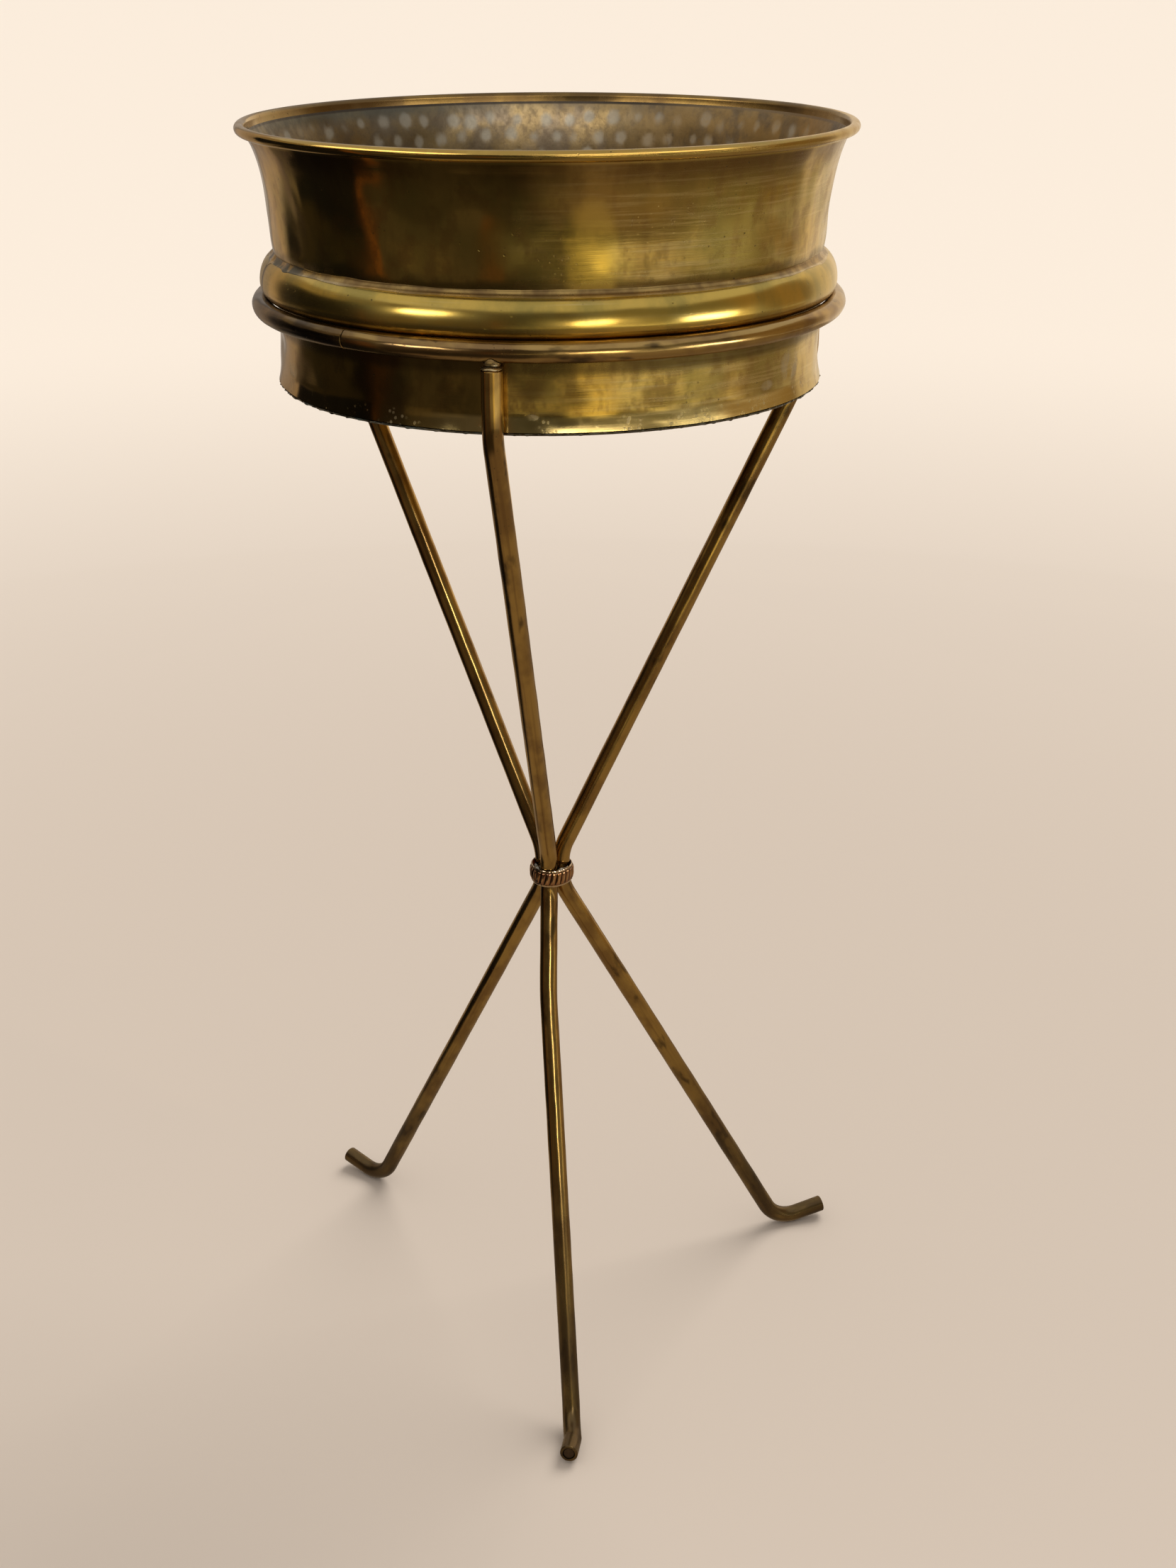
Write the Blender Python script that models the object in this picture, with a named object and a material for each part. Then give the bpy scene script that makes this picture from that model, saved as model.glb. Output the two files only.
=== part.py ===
"""Champagne bucket stand: a brass tub hangs by its bead in a ring on three bent tube legs.

Metres, +Z up. An azimuth is measured about the stand's axis from -Y towards +X.
"""

import math

import bmesh
import bpy
from mathutils import Vector
from mathutils.geometry import interpolate_bezier

# Neighbouring pieces keep this gap, and a pin or plug has this clearance in its hole.
GAP = 0.0003
TURNED_SEGMENTS = 40
TUBE_SIDES = 12
FULL_TURN = 2 * math.pi
MERGE = 1e-6
SHARP_ANGLE = math.radians(35)

# Tub wall: one brass sheet, straight below, flared above and curled round a wire at the rim.
SHEET = 0.0008
WALL_RADIUS = 0.1380
WALL_BOTTOM = 0.5724
WALL_FOOT_FLARE = 0.0013
WALL_FOOT_TOP = 0.5820
FLARE_START = 0.6355
FLARE_END = Vector((0.1487, 0.6924))
FLARE_START_PULL = Vector((0.0026, 0.0050))
FLARE_END_PULL = Vector((-0.0115, -0.0225))
FLARE_STEPS = 7
RIM_RADIUS = 0.1512
RIM_HEIGHT = 0.6945
RIM_ROLL = 0.0026
CURL_START = math.radians(180)
CURL_END = math.radians(-125)
CURL_STEPS = 7
WIRE_SIDES = 8

# Tinned liner pressed inside the wall, and the disc soldered under it.
LINER_SHEET = 0.0006
LINER_FLOOR = 0.5742
LINER_CORNER = 0.0080
LINER_CORNER_STEPS = 5
BASE_THICKNESS = 0.0012
BASE_RADIUS = 0.1380
BASE_SOLDER_WIDTH = 0.0013

# Half-oval bead round the wall, which rests on the ring. It is widest BEAD_SAG below its middle.
BEAD_HEIGHT = 0.6238
BEAD_HALF_HEIGHT = 0.0103
BEAD_DEPTH = 0.0078
BEAD_SAG = 0.0025
BEAD_SHEET = 0.0010
BEAD_STEPS = 8
BEAD_JOINT_AZIMUTH = math.radians(-74)
BEAD_SOLDER = 0.0011

# Support ring: a tube bent round and butted over a dowel.
RING_RADIUS = 0.1457
RING_HEIGHT = 0.6106
RING_TUBE = 0.0050
RING_BORE = 0.0038
RING_STEPS = 40
RING_JOINT_AZIMUTH = math.radians(-38)
RING_JOINT_GAP = 0.0005
RING_DOWEL = 0.0033
RING_DOWEL_LENGTH = 0.0300
DOWEL_STEPS = 6
RING_CUTTER_SEGMENTS = 96

# Legs: one bent tube each, straight under the ring, gathered at the collar, turned up at the toe.
LEG_TUBE = 0.0050
LEG_BORE = 0.0035
LEG_TOP = 0.6025
SHOULDER_HEIGHT = 0.5700
SHOULDER_BEND = 0.0300
WAIST_BEND = 0.0300
FOOT_BEND = 0.0200
BEND_STEPS = 3
FOOT_STEPS = 3
TOE_STEPS = 2
# The legs are bent by hand, so each has its own directions: azimuth at the ring, azimuth and
# radius of the point it stands on, azimuth of the toe, rise of the toe and the toe's length.
LEGS = {
    "front": (-8.8, 4.0, 0.1612, -8.0, 8.5, 0.0115),
    "right": (107.7, 108.1, 0.1595, 108.1, 10.6, 0.0183),
    "left": (-126.5, -127.1, 0.1636, -127.1, 11.3, 0.0168),
}
# A slight sideways kink below the collar, as a part of the lower run, and its offset.
KINKS = {"front": (0.21, -0.0030)}
KINK_BEND = 0.1500

# Pins and plugs of the legs, and the braze under the ring.
PIN = 0.0018
PIN_HOLE = PIN + GAP
PIN_BOTTOM = 0.5900
PIN_TOP = 0.6084
PLUG_SHANK = 0.0030
PLUG_SHANK_LENGTH = 0.0100
PLUG_DOME = 0.0016
PLUG_DOME_TURN = math.radians(65)
PLUG_DOME_STEPS = 3
BRAZE_RADIUS = 0.0043
BRAZE_TOP = 0.6071
FOOT_PLUG = 0.0030
FOOT_PLUG_LENGTH = 0.0060

# Collar: a reeded strip round the three legs, with solder in the gaps between them.
COLLAR_HEIGHT = 0.2815
COLLAR_HALF_HEIGHT = 0.0050
COLLAR_INNER = 0.0113
COLLAR_TRIANGLE = 0.00035
COLLAR_EDGE = 0.0006
COLLAR_BULGE = 0.0007
COLLAR_REED = 0.0004
COLLAR_REEDS = 24
# Levels, as parts of the half height, where the flat edge ends and where the crest begins.
COLLAR_LIP = 0.78
COLLAR_CREST = 0.40
COLLAR_CENTRE_X = -0.0022
COLLAR_TURN = math.radians(-12)
WAIST_RADIUS = (2 * LEG_TUBE + GAP) / math.sqrt(3)
WAIST_ABOVE = 0.0125
WAIST_BELOW = 0.0090
SOLDER_BOTTOM = 0.2818
SOLDER_TOP = 0.2850
SOLDER_RADIUS = 0.0105
SOLDER_SPREAD = math.radians(38)
SOLDER_STEPS = 5


# Helpers


def clear_scene():
    for obj in list(bpy.data.objects):
        bpy.data.objects.remove(obj)


def metal(name, color, roughness):
    material = bpy.data.materials.new(name)
    material.use_nodes = True
    shader = material.node_tree.nodes["Principled BSDF"]
    shader.inputs["Base Color"].default_value = (*color, 1)
    shader.inputs["Metallic"].default_value = 1.0
    shader.inputs["Roughness"].default_value = roughness
    return material


def polar(radius, azimuth, height):
    return Vector((radius * math.sin(azimuth), -radius * math.cos(azimuth), height))


def steps(start, end, count):
    return [start + (end - start) * i / count for i in range(count + 1)]


def finish(bm, name, material, parent):
    """Make an object of the bmesh, with its faces pointing out."""
    bmesh.ops.recalc_face_normals(bm, faces=bm.faces)
    mesh = bpy.data.meshes.new(name)
    bm.to_mesh(mesh)
    bm.free()
    mesh.shade_smooth()
    mesh.set_sharp_from_angle(angle=SHARP_ANGLE)
    mesh.materials.append(material)
    obj = bpy.data.objects.new(name, mesh)
    bpy.context.scene.collection.objects.link(obj)
    obj.parent = parent
    return obj


def turned(name, profile, material, parent, joint=0.0, opening=0.0, segments=TURNED_SEGMENTS):
    """Turn a profile of (radius, height) points about the axis, leaving an opening at a joint."""
    bm = bmesh.new()
    start = joint + opening / 2
    verts = [bm.verts.new(polar(radius, start, height)) for radius, height in profile]
    on_axis = profile[0][0] == 0 and profile[-1][0] == 0
    if opening:
        geometry = [bm.faces.new(verts)]
    else:
        ends = verts[1:] if on_axis else verts[1:] + verts[:1]
        geometry = verts + [bm.edges.new(pair) for pair in zip(verts, ends)]
    spin = {"cent": (0, 0, 0), "axis": (0, 0, 1), "dvec": (0, 0, 0)}
    bmesh.ops.spin(bm, geom=geometry, angle=FULL_TURN - opening, steps=segments, **spin)
    bmesh.ops.remove_doubles(bm, verts=bm.verts, dist=MERGE)
    return finish(bm, name, material, parent)


def sheet_profile(line, thickness):
    """Give a (radius, height) line a thickness, half of it to each side."""
    points = [Vector(point) for point in line]
    sides = ([], [])
    for i, point in enumerate(points):
        before = point - points[i - 1] if i else points[1] - point
        after = points[i + 1] - point if i < len(points) - 1 else before
        normal = before.normalized().orthogonal() + after.normalized().orthogonal()
        normal.normalize()
        normal *= thickness / 2 / normal.dot(before.normalized().orthogonal())
        sides[0].append(point + normal)
        sides[1].append(point - normal)
    return [tuple(point) for point in sides[0] + sides[1][::-1]]


def tube(name, path, side, outer, inner, material, parent):
    """Sweep a round tube along the path, or a solid rod if inner is 0."""
    bm = bmesh.new()
    rings = []
    for i, point in enumerate(path):
        before = path[max(i - 1, 0)]
        after = path[min(i + 1, len(path) - 1)]
        along = (after - before).normalized()
        across = (side - along * side.dot(along)).normalized()
        up = along.cross(across)
        ring = []
        for radius in filter(None, (outer, inner)):
            for turn in steps(0, FULL_TURN, TUBE_SIDES)[:-1]:
                ring.append(bm.verts.new(point + radius * (up * math.cos(turn) + across * math.sin(turn))))
        rings.append([ring[:TUBE_SIDES], ring[TUBE_SIDES:]])
    walls = (0, 1) if inner else (0,)
    for first, second in zip(rings, rings[1:]):
        for wall in walls:
            for k in range(TUBE_SIDES):
                m = (k + 1) % TUBE_SIDES
                bm.faces.new((first[wall][k], first[wall][m], second[wall][m], second[wall][k]))
    for outer_loop, inner_loop in (rings[0], rings[-1]):
        if not inner:
            bm.faces.new(outer_loop)
            continue
        for k in range(TUBE_SIDES):
            m = (k + 1) % TUBE_SIDES
            bm.faces.new((outer_loop[k], outer_loop[m], inner_loop[m], inner_loop[k]))
    return finish(bm, name, material, parent)


def bent_path(corners, radii, count):
    """Points along straight runs between corners, with a round bend at each inner corner."""
    path = [corners[0]]
    for before, corner, after, radius in zip(corners, corners[1:], corners[2:], radii):
        back = (before - corner).normalized()
        ahead = (after - corner).normalized()
        turn = math.pi - back.angle(ahead)
        centre = corner + (back + ahead).normalized() * radius / math.cos(turn / 2)
        start = corner + back * radius * math.tan(turn / 2) - centre
        end = corner + ahead * radius * math.tan(turn / 2) - centre
        for part in steps(0, 1, count):
            mix = start * math.sin((1 - part) * turn) + end * math.sin(part * turn)
            path.append(centre + mix / math.sin(turn))
    return path + [corners[-1]]


def cut(obj, cutter, name):
    modifier = obj.modifiers.new(name, "BOOLEAN")
    modifier.operation = "DIFFERENCE"
    modifier.solver = "EXACT"
    modifier.object = cutter
    cutter.hide_render = True
    cutter.display_type = "WIRE"


# Tub


def wall_line(inset=0.0):
    """Middle of the wall sheet from the end of its foot flare to its rim, moved in by inset."""
    radius = WALL_RADIUS - SHEET / 2
    start = Vector((radius, FLARE_START))
    flare = interpolate_bezier(
        start.to_3d(),
        (start + FLARE_START_PULL).to_3d(),
        (FLARE_END + FLARE_END_PULL).to_3d(),
        FLARE_END.to_3d(),
        FLARE_STEPS + 1,
    )
    line = [(radius, WALL_FOOT_TOP)] + [tuple(point.to_2d()) for point in flare]
    return [(r - inset, z) for r, z in line]


def add_wall(material, parent):
    foot = (WALL_RADIUS - SHEET / 2 + WALL_FOOT_FLARE, WALL_BOTTOM)
    curl = []
    for turn in steps(CURL_START, CURL_END, CURL_STEPS):
        middle = RIM_ROLL - SHEET / 2
        curl.append((RIM_RADIUS + middle * math.cos(turn), RIM_HEIGHT + middle * math.sin(turn)))
    turned("tub_wall", sheet_profile([foot] + wall_line() + curl, SHEET), material, parent)


def add_rim_wire(material, parent):
    radius = RIM_ROLL - SHEET - GAP
    section = []
    for turn in steps(0, FULL_TURN, WIRE_SIDES)[:-1]:
        section.append((RIM_RADIUS + radius * math.cos(turn), RIM_HEIGHT + radius * math.sin(turn)))
    turned("rim_wire", section, material, parent)


def add_liner(material, parent):
    side = wall_line(inset=SHEET / 2 + GAP + LINER_SHEET / 2)
    corner_radius = side[0][0] - LINER_CORNER
    corner_height = LINER_FLOOR + LINER_CORNER
    corner = []
    for turn in steps(-math.pi / 2, 0, LINER_CORNER_STEPS):
        radius = corner_radius + LINER_CORNER * math.cos(turn)
        corner.append((radius, corner_height + LINER_CORNER * math.sin(turn)))
    line = [(0, LINER_FLOOR)] + corner + side[1:]
    turned("liner", sheet_profile(line, LINER_SHEET), material, parent)


def add_base(brass, solder, parent):
    top = WALL_BOTTOM - GAP
    bottom = top - BASE_THICKNESS
    disc = [(0, top), (BASE_RADIUS, top), (BASE_RADIUS, bottom), (0, bottom)]
    turned("base_disc", disc, brass, parent)
    inner = BASE_RADIUS + GAP
    outer = inner + BASE_SOLDER_WIDTH
    seam = [(inner, top), (outer, top), (outer, top - BASE_THICKNESS / 2), (inner, bottom)]
    turned("base_solder", seam, solder, parent)


def add_bead(brass, solder, parent):
    edge = WALL_RADIUS + GAP
    section = []
    for shrink, turns in ((0, (90, -90)), (BEAD_SHEET, (-90, 90))):
        for turn in steps(math.radians(turns[0]), math.radians(turns[1]), BEAD_STEPS):
            radius = edge + (BEAD_DEPTH - shrink) * math.cos(turn)
            reach = BEAD_HALF_HEIGHT - shrink + math.copysign(BEAD_SAG, turn)
            section.append((radius, BEAD_HEIGHT - BEAD_SAG + reach * math.sin(turn)))
    opening = RING_JOINT_GAP / WALL_RADIUS
    turned("bead", section, brass, parent, BEAD_JOINT_AZIMUTH, opening)
    foot = BEAD_HEIGHT + BEAD_HALF_HEIGHT + GAP
    fillet = [(edge, foot + BEAD_SOLDER), (edge + BEAD_SOLDER, foot), (edge, foot)]
    turned("bead_solder", fillet, solder, parent)


# Ring


def ring_path(start, end, count):
    return [polar(RING_RADIUS, azimuth, RING_HEIGHT) for azimuth in steps(start, end, count)]


def add_ring(material, parent):
    half_gap = RING_JOINT_GAP / RING_RADIUS / 2
    start = RING_JOINT_AZIMUTH + half_gap
    path = ring_path(start, RING_JOINT_AZIMUTH + FULL_TURN - half_gap, RING_STEPS)
    up = Vector((0, 0, 1))
    ring = tube("support_ring", path, up, RING_TUBE, RING_BORE, material, parent)
    half = RING_DOWEL_LENGTH / RING_RADIUS / 2
    path = ring_path(RING_JOINT_AZIMUTH - half, RING_JOINT_AZIMUTH + half, DOWEL_STEPS)
    tube("ring_joint_dowel", path, up, RING_DOWEL, 0, material, parent)
    return ring


def add_ring_cutter(parent):
    """A full torus, a gap thicker than the ring, that shapes the braze under it."""
    section = []
    for turn in steps(0, FULL_TURN, TUBE_SIDES)[:-1]:
        radius = (RING_TUBE + GAP) / math.cos(math.pi / TUBE_SIDES)
        section.append((RING_RADIUS + radius * math.cos(turn), RING_HEIGHT + radius * math.sin(turn)))
    return turned("ring_cutter", section, None, parent, segments=RING_CUTTER_SEGMENTS)


# Legs


def foot_path(waist, stand_azimuth, stand_radius, toe_azimuth, toe_rise, toe_length):
    """The foot's bend, tangent to the leg's straight run from the waist, and then the toe."""
    outward = polar(1, stand_azimuth, 0)
    up = Vector((0, 0, 1))
    centre = outward * stand_radius + up * (LEG_TUBE + FOOT_BEND)
    reach = (waist - centre).dot(outward)
    rise = (waist - centre).dot(up)
    tangent = math.atan2(rise, reach) + math.acos(FOOT_BEND / math.hypot(reach, rise)) - FULL_TURN
    lowest = -math.pi / 2
    path = []
    for turn in steps(tangent, lowest, FOOT_STEPS):
        path.append(centre + FOOT_BEND * (outward * math.cos(turn) + up * math.sin(turn)))
    toe = polar(1, toe_azimuth, 0)
    for turn in steps(lowest, lowest + toe_rise, TOE_STEPS)[1:]:
        rest = centre - up * FOOT_BEND
        path.append(rest + FOOT_BEND * (toe * math.cos(turn) + up * (1 + math.sin(turn))))
    path.append(path[-1] + toe_length * (toe * math.cos(toe_rise) + up * math.sin(toe_rise)))
    return path


def leg_path(name, place, top_azimuth, stand_azimuth, stand_radius, toe_azimuth, toe_rise, toe_length):
    top = polar(RING_RADIUS, top_azimuth, LEG_TOP)
    shoulder = polar(RING_RADIUS, top_azimuth, SHOULDER_HEIGHT)
    waist = Vector((COLLAR_CENTRE_X, 0, 0)) + polar(WAIST_RADIUS, COLLAR_TURN + place, 0)
    above = waist + Vector((0, 0, COLLAR_HEIGHT + WAIST_ABOVE))
    below = waist + Vector((0, 0, COLLAR_HEIGHT - WAIST_BELOW))
    foot = foot_path(below, stand_azimuth, stand_radius, toe_azimuth, toe_rise, toe_length)
    corners = [top, shoulder, above, below, foot[0]]
    bends = [SHOULDER_BEND, WAIST_BEND, WAIST_BEND]
    if name in KINKS:
        part, offset = KINKS[name]
        sideways = polar(1, stand_azimuth + math.pi / 2, 0)
        corners.insert(-1, below.lerp(foot[0], part) + sideways * offset)
        bends.append(KINK_BEND)
    return bent_path(corners, bends, BEND_STEPS) + foot[1:]


def leg_top_profiles():
    """(radius, height) sections of the domed plug in a leg's top end and of the braze on it."""
    seat = LEG_TOP + GAP
    rounded = []
    for turn in steps(0, PLUG_DOME_TURN, PLUG_DOME_STEPS):
        rounded.append((LEG_TUBE * math.cos(turn), seat + PLUG_DOME * math.sin(turn)))
    shank_end = seat - PLUG_SHANK_LENGTH
    shank = [(PIN_HOLE, shank_end), (PLUG_SHANK, shank_end), (PLUG_SHANK, seat)]
    dome_top = seat + PLUG_DOME
    braze_foot = dome_top + GAP
    braze = [
        (PIN_HOLE, braze_foot),
        (BRAZE_RADIUS, braze_foot),
        (BRAZE_RADIUS, BRAZE_TOP),
        (PIN_HOLE, BRAZE_TOP),
    ]
    return shank + rounded + [(PIN_HOLE, dome_top)], braze


def add_leg(name, place, ring, ring_cutter, materials, parent):
    top, stand, radius, toe, rise, length = LEGS[name]
    azimuths = [math.radians(angle) for angle in (top, stand, toe, rise)]
    top_azimuth, stand_azimuth, toe_azimuth, toe_rise = azimuths
    path = leg_path(name, place, top_azimuth, stand_azimuth, radius, toe_azimuth, toe_rise, length)
    side = polar(1, stand_azimuth + math.pi / 2, 0)
    tube(f"{name}_leg", path, side, LEG_TUBE, LEG_BORE, materials["rod"], parent)

    toe_along = (path[-1] - path[-2]).normalized()
    plug_ends = [path[-1] - toe_along * FOOT_PLUG_LENGTH, path[-1] + toe_along * GAP]
    tube(f"{name}_foot_plug", plug_ends, side, FOOT_PLUG, 0, materials["rod"], parent)

    middle = polar(RING_RADIUS, top_azimuth, 0)
    plug, braze = leg_top_profiles()
    pieces = [
        turned(f"{name}_leg_plug", plug, materials["rod"], parent, segments=TUBE_SIDES),
        turned(f"{name}_ring_braze", braze, materials["solder"], parent, segments=TUBE_SIDES),
    ]
    for piece in pieces:
        piece.location = middle
    cut(pieces[1], ring_cutter, "ring_seat")

    low, high = Vector((0, 0, PIN_BOTTOM)), Vector((0, 0, PIN_TOP))
    pin = tube(f"{name}_ring_pin", [low, high], side, PIN, 0, materials["rod"], parent)
    hole = tube(f"{name}_pin_cutter", [low, high], side, PIN_HOLE, 0, None, parent)
    pin.location = middle
    hole.location = middle
    cut(ring, hole, f"{name}_pin_hole")


# Collar


def add_collar(material, parent):
    """A closed strip: its section follows the legs' rounded triangle and bulges between its edges."""
    bm = bmesh.new()
    sections = []
    for i in range(2 * COLLAR_REEDS):
        turn = FULL_TURN * i / (2 * COLLAR_REEDS)
        inner = COLLAR_INNER + COLLAR_TRIANGLE * math.cos(3 * (turn - COLLAR_TURN))
        edge = inner + COLLAR_EDGE
        crest = edge + COLLAR_BULGE - COLLAR_REED * (i % 2)
        outline = [
            (inner, 1.0),
            (edge, 1.0),
            (edge, COLLAR_LIP),
            (crest, COLLAR_CREST),
            (crest, -COLLAR_CREST),
            (edge, -COLLAR_LIP),
            (edge, -1.0),
            (inner, -1.0),
        ]
        section = []
        for radius, level in outline:
            section.append(bm.verts.new(polar(radius, turn, level * COLLAR_HALF_HEIGHT)))
        sections.append(section)
    for i, section in enumerate(sections):
        following = sections[(i + 1) % len(sections)]
        for k in range(len(section)):
            m = (k + 1) % len(section)
            bm.faces.new((section[k], section[m], following[m], following[k]))
    collar = finish(bm, "collar", material, parent)
    collar.location = (COLLAR_CENTRE_X, 0, COLLAR_HEIGHT)


def arc_about(centre, first, last, count):
    """Points from first to last on the short arc about centre."""
    start = first - centre
    turn = (last - centre).angle_signed(start)
    arc = []
    for part in steps(0, 1, count):
        angle = part * turn
        c, s = math.cos(angle), math.sin(angle)
        arc.append(centre + Vector((start.x * c - start.y * s, start.x * s + start.y * c)))
    return arc


def add_collar_solder(name, middle, material, parent):
    """Solder between two neighbouring legs and the collar, with its thin end at their contact."""
    clear = LEG_TUBE + 2 * GAP
    spacing = WAIST_RADIUS * math.sin(math.pi / 3)
    cusp_radius = WAIST_RADIUS * math.cos(math.pi / 3) + math.sqrt(clear**2 - spacing**2) + GAP
    cusp = polar(cusp_radius, middle, 0).to_2d()
    corners = [polar(SOLDER_RADIUS, middle + way * SOLDER_SPREAD, 0).to_2d() for way in (-1, 1)]
    legs = [polar(WAIST_RADIUS, middle + way * math.pi / 3, 0).to_2d() for way in (-1, 1)]
    outline = arc_about(Vector((0, 0)), corners[0], corners[1], SOLDER_STEPS)
    outline += arc_about(legs[1], corners[1], cusp, SOLDER_STEPS)[1:]
    outline += arc_about(legs[0], cusp, corners[0], SOLDER_STEPS)[1:-1]
    bm = bmesh.new()
    face = bm.faces.new([bm.verts.new((*point, SOLDER_BOTTOM)) for point in outline])
    raised = bmesh.ops.extrude_face_region(bm, geom=[face])["geom"]
    raised = [item for item in raised if isinstance(item, bmesh.types.BMVert)]
    bmesh.ops.translate(bm, verts=raised, vec=(0, 0, SOLDER_TOP - SOLDER_BOTTOM))
    solder = finish(bm, name, material, parent)
    solder.location.x = COLLAR_CENTRE_X


# Assembly


def add_axis(name, parent=None):
    axis = bpy.data.objects.new(name, None)
    bpy.context.scene.collection.objects.link(axis)
    axis.parent = parent
    return axis


def centre_on_floor(axis):
    """Put the origin on the floor under the middle of the whole stand's box."""
    bpy.context.view_layer.update()
    corners = []
    for obj in bpy.data.objects:
        if obj.type == "MESH" and not obj.hide_render:
            corners += [obj.matrix_world @ Vector(corner) for corner in obj.bound_box]
    for side in range(2):
        spread = [corner[side] for corner in corners]
        axis.location[side] = -(min(spread) + max(spread)) / 2
    axis.location.z = -min(corner.z for corner in corners)


def main():
    clear_scene()
    brass = metal("aged_brass", (0.50, 0.36, 0.15), 0.32)
    rod = metal("rod_brass", (0.36, 0.25, 0.11), 0.34)
    copper = metal("collar_brass", (0.42, 0.22, 0.11), 0.30)
    tin = metal("tinned_lining", (0.55, 0.53, 0.48), 0.42)
    solder = metal("solder", (0.40, 0.38, 0.33), 0.50)
    steel = metal("rim_steel", (0.42, 0.41, 0.40), 0.45)
    stand_axis = add_axis("stand_axis")
    tub_axis = add_axis("tub_axis", stand_axis)

    add_wall(brass, tub_axis)
    add_rim_wire(steel, tub_axis)
    add_liner(tin, tub_axis)
    add_base(brass, solder, tub_axis)
    add_bead(brass, solder, tub_axis)

    ring = add_ring(rod, stand_axis)
    ring_cutter = add_ring_cutter(stand_axis)
    materials = {"rod": rod, "solder": solder}
    for i, name in enumerate(LEGS):
        add_leg(name, i * FULL_TURN / 3, ring, ring_cutter, materials, stand_axis)
    add_collar(copper, stand_axis)
    for i, name in enumerate(("front_right", "back", "front_left")):
        middle = COLLAR_TURN + (i + 0.5) * FULL_TURN / 3
        add_collar_solder(f"collar_solder_{name}", middle, solder, stand_axis)
    centre_on_floor(stand_axis)


main()
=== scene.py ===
"""Champagne bucket stand: an aged brass tub, lined with hammered tin, on three bent tubes.

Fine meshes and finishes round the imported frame. Metres, +Z up. Heights are above the floor, and
an azimuth goes round the tub's axis from -Y, the front leg's side, towards +X.
"""

import math

import bmesh
import bpy
import numpy as np
from mathutils import Matrix, Vector
from mathutils.geometry import interpolate_bezier


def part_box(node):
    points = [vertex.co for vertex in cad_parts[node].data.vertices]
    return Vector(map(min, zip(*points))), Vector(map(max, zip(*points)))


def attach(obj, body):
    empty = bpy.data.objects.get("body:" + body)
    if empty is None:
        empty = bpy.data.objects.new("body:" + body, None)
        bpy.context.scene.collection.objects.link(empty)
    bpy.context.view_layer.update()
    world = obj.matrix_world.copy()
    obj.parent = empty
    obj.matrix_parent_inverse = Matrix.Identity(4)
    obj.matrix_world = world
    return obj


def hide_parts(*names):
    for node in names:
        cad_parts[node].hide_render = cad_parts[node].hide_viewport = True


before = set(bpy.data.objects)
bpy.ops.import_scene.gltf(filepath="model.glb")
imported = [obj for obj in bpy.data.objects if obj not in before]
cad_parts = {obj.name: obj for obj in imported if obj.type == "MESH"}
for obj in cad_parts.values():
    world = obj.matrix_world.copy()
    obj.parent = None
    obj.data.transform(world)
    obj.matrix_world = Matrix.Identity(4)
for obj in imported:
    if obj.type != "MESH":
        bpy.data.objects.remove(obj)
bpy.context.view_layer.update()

FULL_TURN = 2 * math.pi
GAP = 0.0003
JOINT_GAP = 0.0005
MERGE = 1e-6
SHARP_ANGLE = math.radians(40)
COLUMNS = 480
LINER_COLUMNS = 720
SEAM_COLUMNS = 1440

# Tub wall: one sheet, flared at the foot and above, and curled round a wire at the rim.
SHEET = 0.0008
WALL_RADIUS = 0.1380
WALL_BOTTOM = 0.5724
WALL_FOOT_FLARE = 0.0013
WALL_FOOT_TOP = 0.5820
FLARE_START = 0.6355
FLARE_END = Vector((0.1487, 0.6924))
FLARE_START_PULL = Vector((0.0026, 0.0050))
FLARE_END_PULL = Vector((-0.0115, -0.0225))
FLARE_STEPS = 26
STRAIGHT_STEPS = 22
FOOT_STEPS = 6
RIM_RADIUS = 0.1512
RIM_HEIGHT = 0.6945
RIM_ROLL = 0.0026
CURL_START = math.radians(180)
CURL_END = math.radians(-125)
CURL_STEPS = 26

# Liner and bottom of the tub.
LINER_SHEET = 0.0006
LINER_FLOOR = 0.5742
LINER_CORNER = 0.0080
FLOOR_STEPS = 14
CORNER_STEPS = 10
BASE_THICKNESS = 0.0012
BASE_RADIUS = 0.1380
BASE_EDGE = 0.0004
BASE_SOLDER_WIDTH = 0.0013
BASE_SOLDER_GAP = 0.0001

# The hammer's marks on the liner, in staggered rows.
MARK_PITCH = 0.0130
MARK_ROW_PITCH = 0.0098
MARK_HALF_WIDTH = 0.0032
MARK_HALF_HEIGHT = 0.0036
MARK_STRAY = 0.0016
MARK_ROW_STRAY = 0.0010
MARK_FLOOR_MARGIN = 0.012
MARK_RIM_MARGIN = 0.006
MARK_DEPTH = 0.00018

# Bead and its solder line.
BEAD_HEIGHT = 0.6238
BEAD_HALF_HEIGHT = 0.0103
BEAD_DEPTH = 0.0078
BEAD_SAG = 0.0025
BEAD_SHEET = 0.0010
BEAD_STEPS = 26
BEAD_JOINT_AZIMUTH = math.radians(-74)
BEAD_WAVE = 0.00007
BEAD_BRAZE = 0.0027
BRAZE_EDGE = 0.00012
# Blobs in the braze by the bead's joint: azimuth in degrees, growth, and half width in radians.
BRAZE_BLOBS = ((-96, 0.3, 0.02), (-84, 0.5, 0.02), (-74, 0.6, 0.02), (-62, 0.3, 0.03))

# Support ring.
RING_RADIUS = 0.1457
RING_HEIGHT = 0.6106
RING_TUBE = 0.0050
RING_BORE = 0.0038
RING_EASE = 0.0003
RING_JOINT_AZIMUTH = math.radians(-38)

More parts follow.
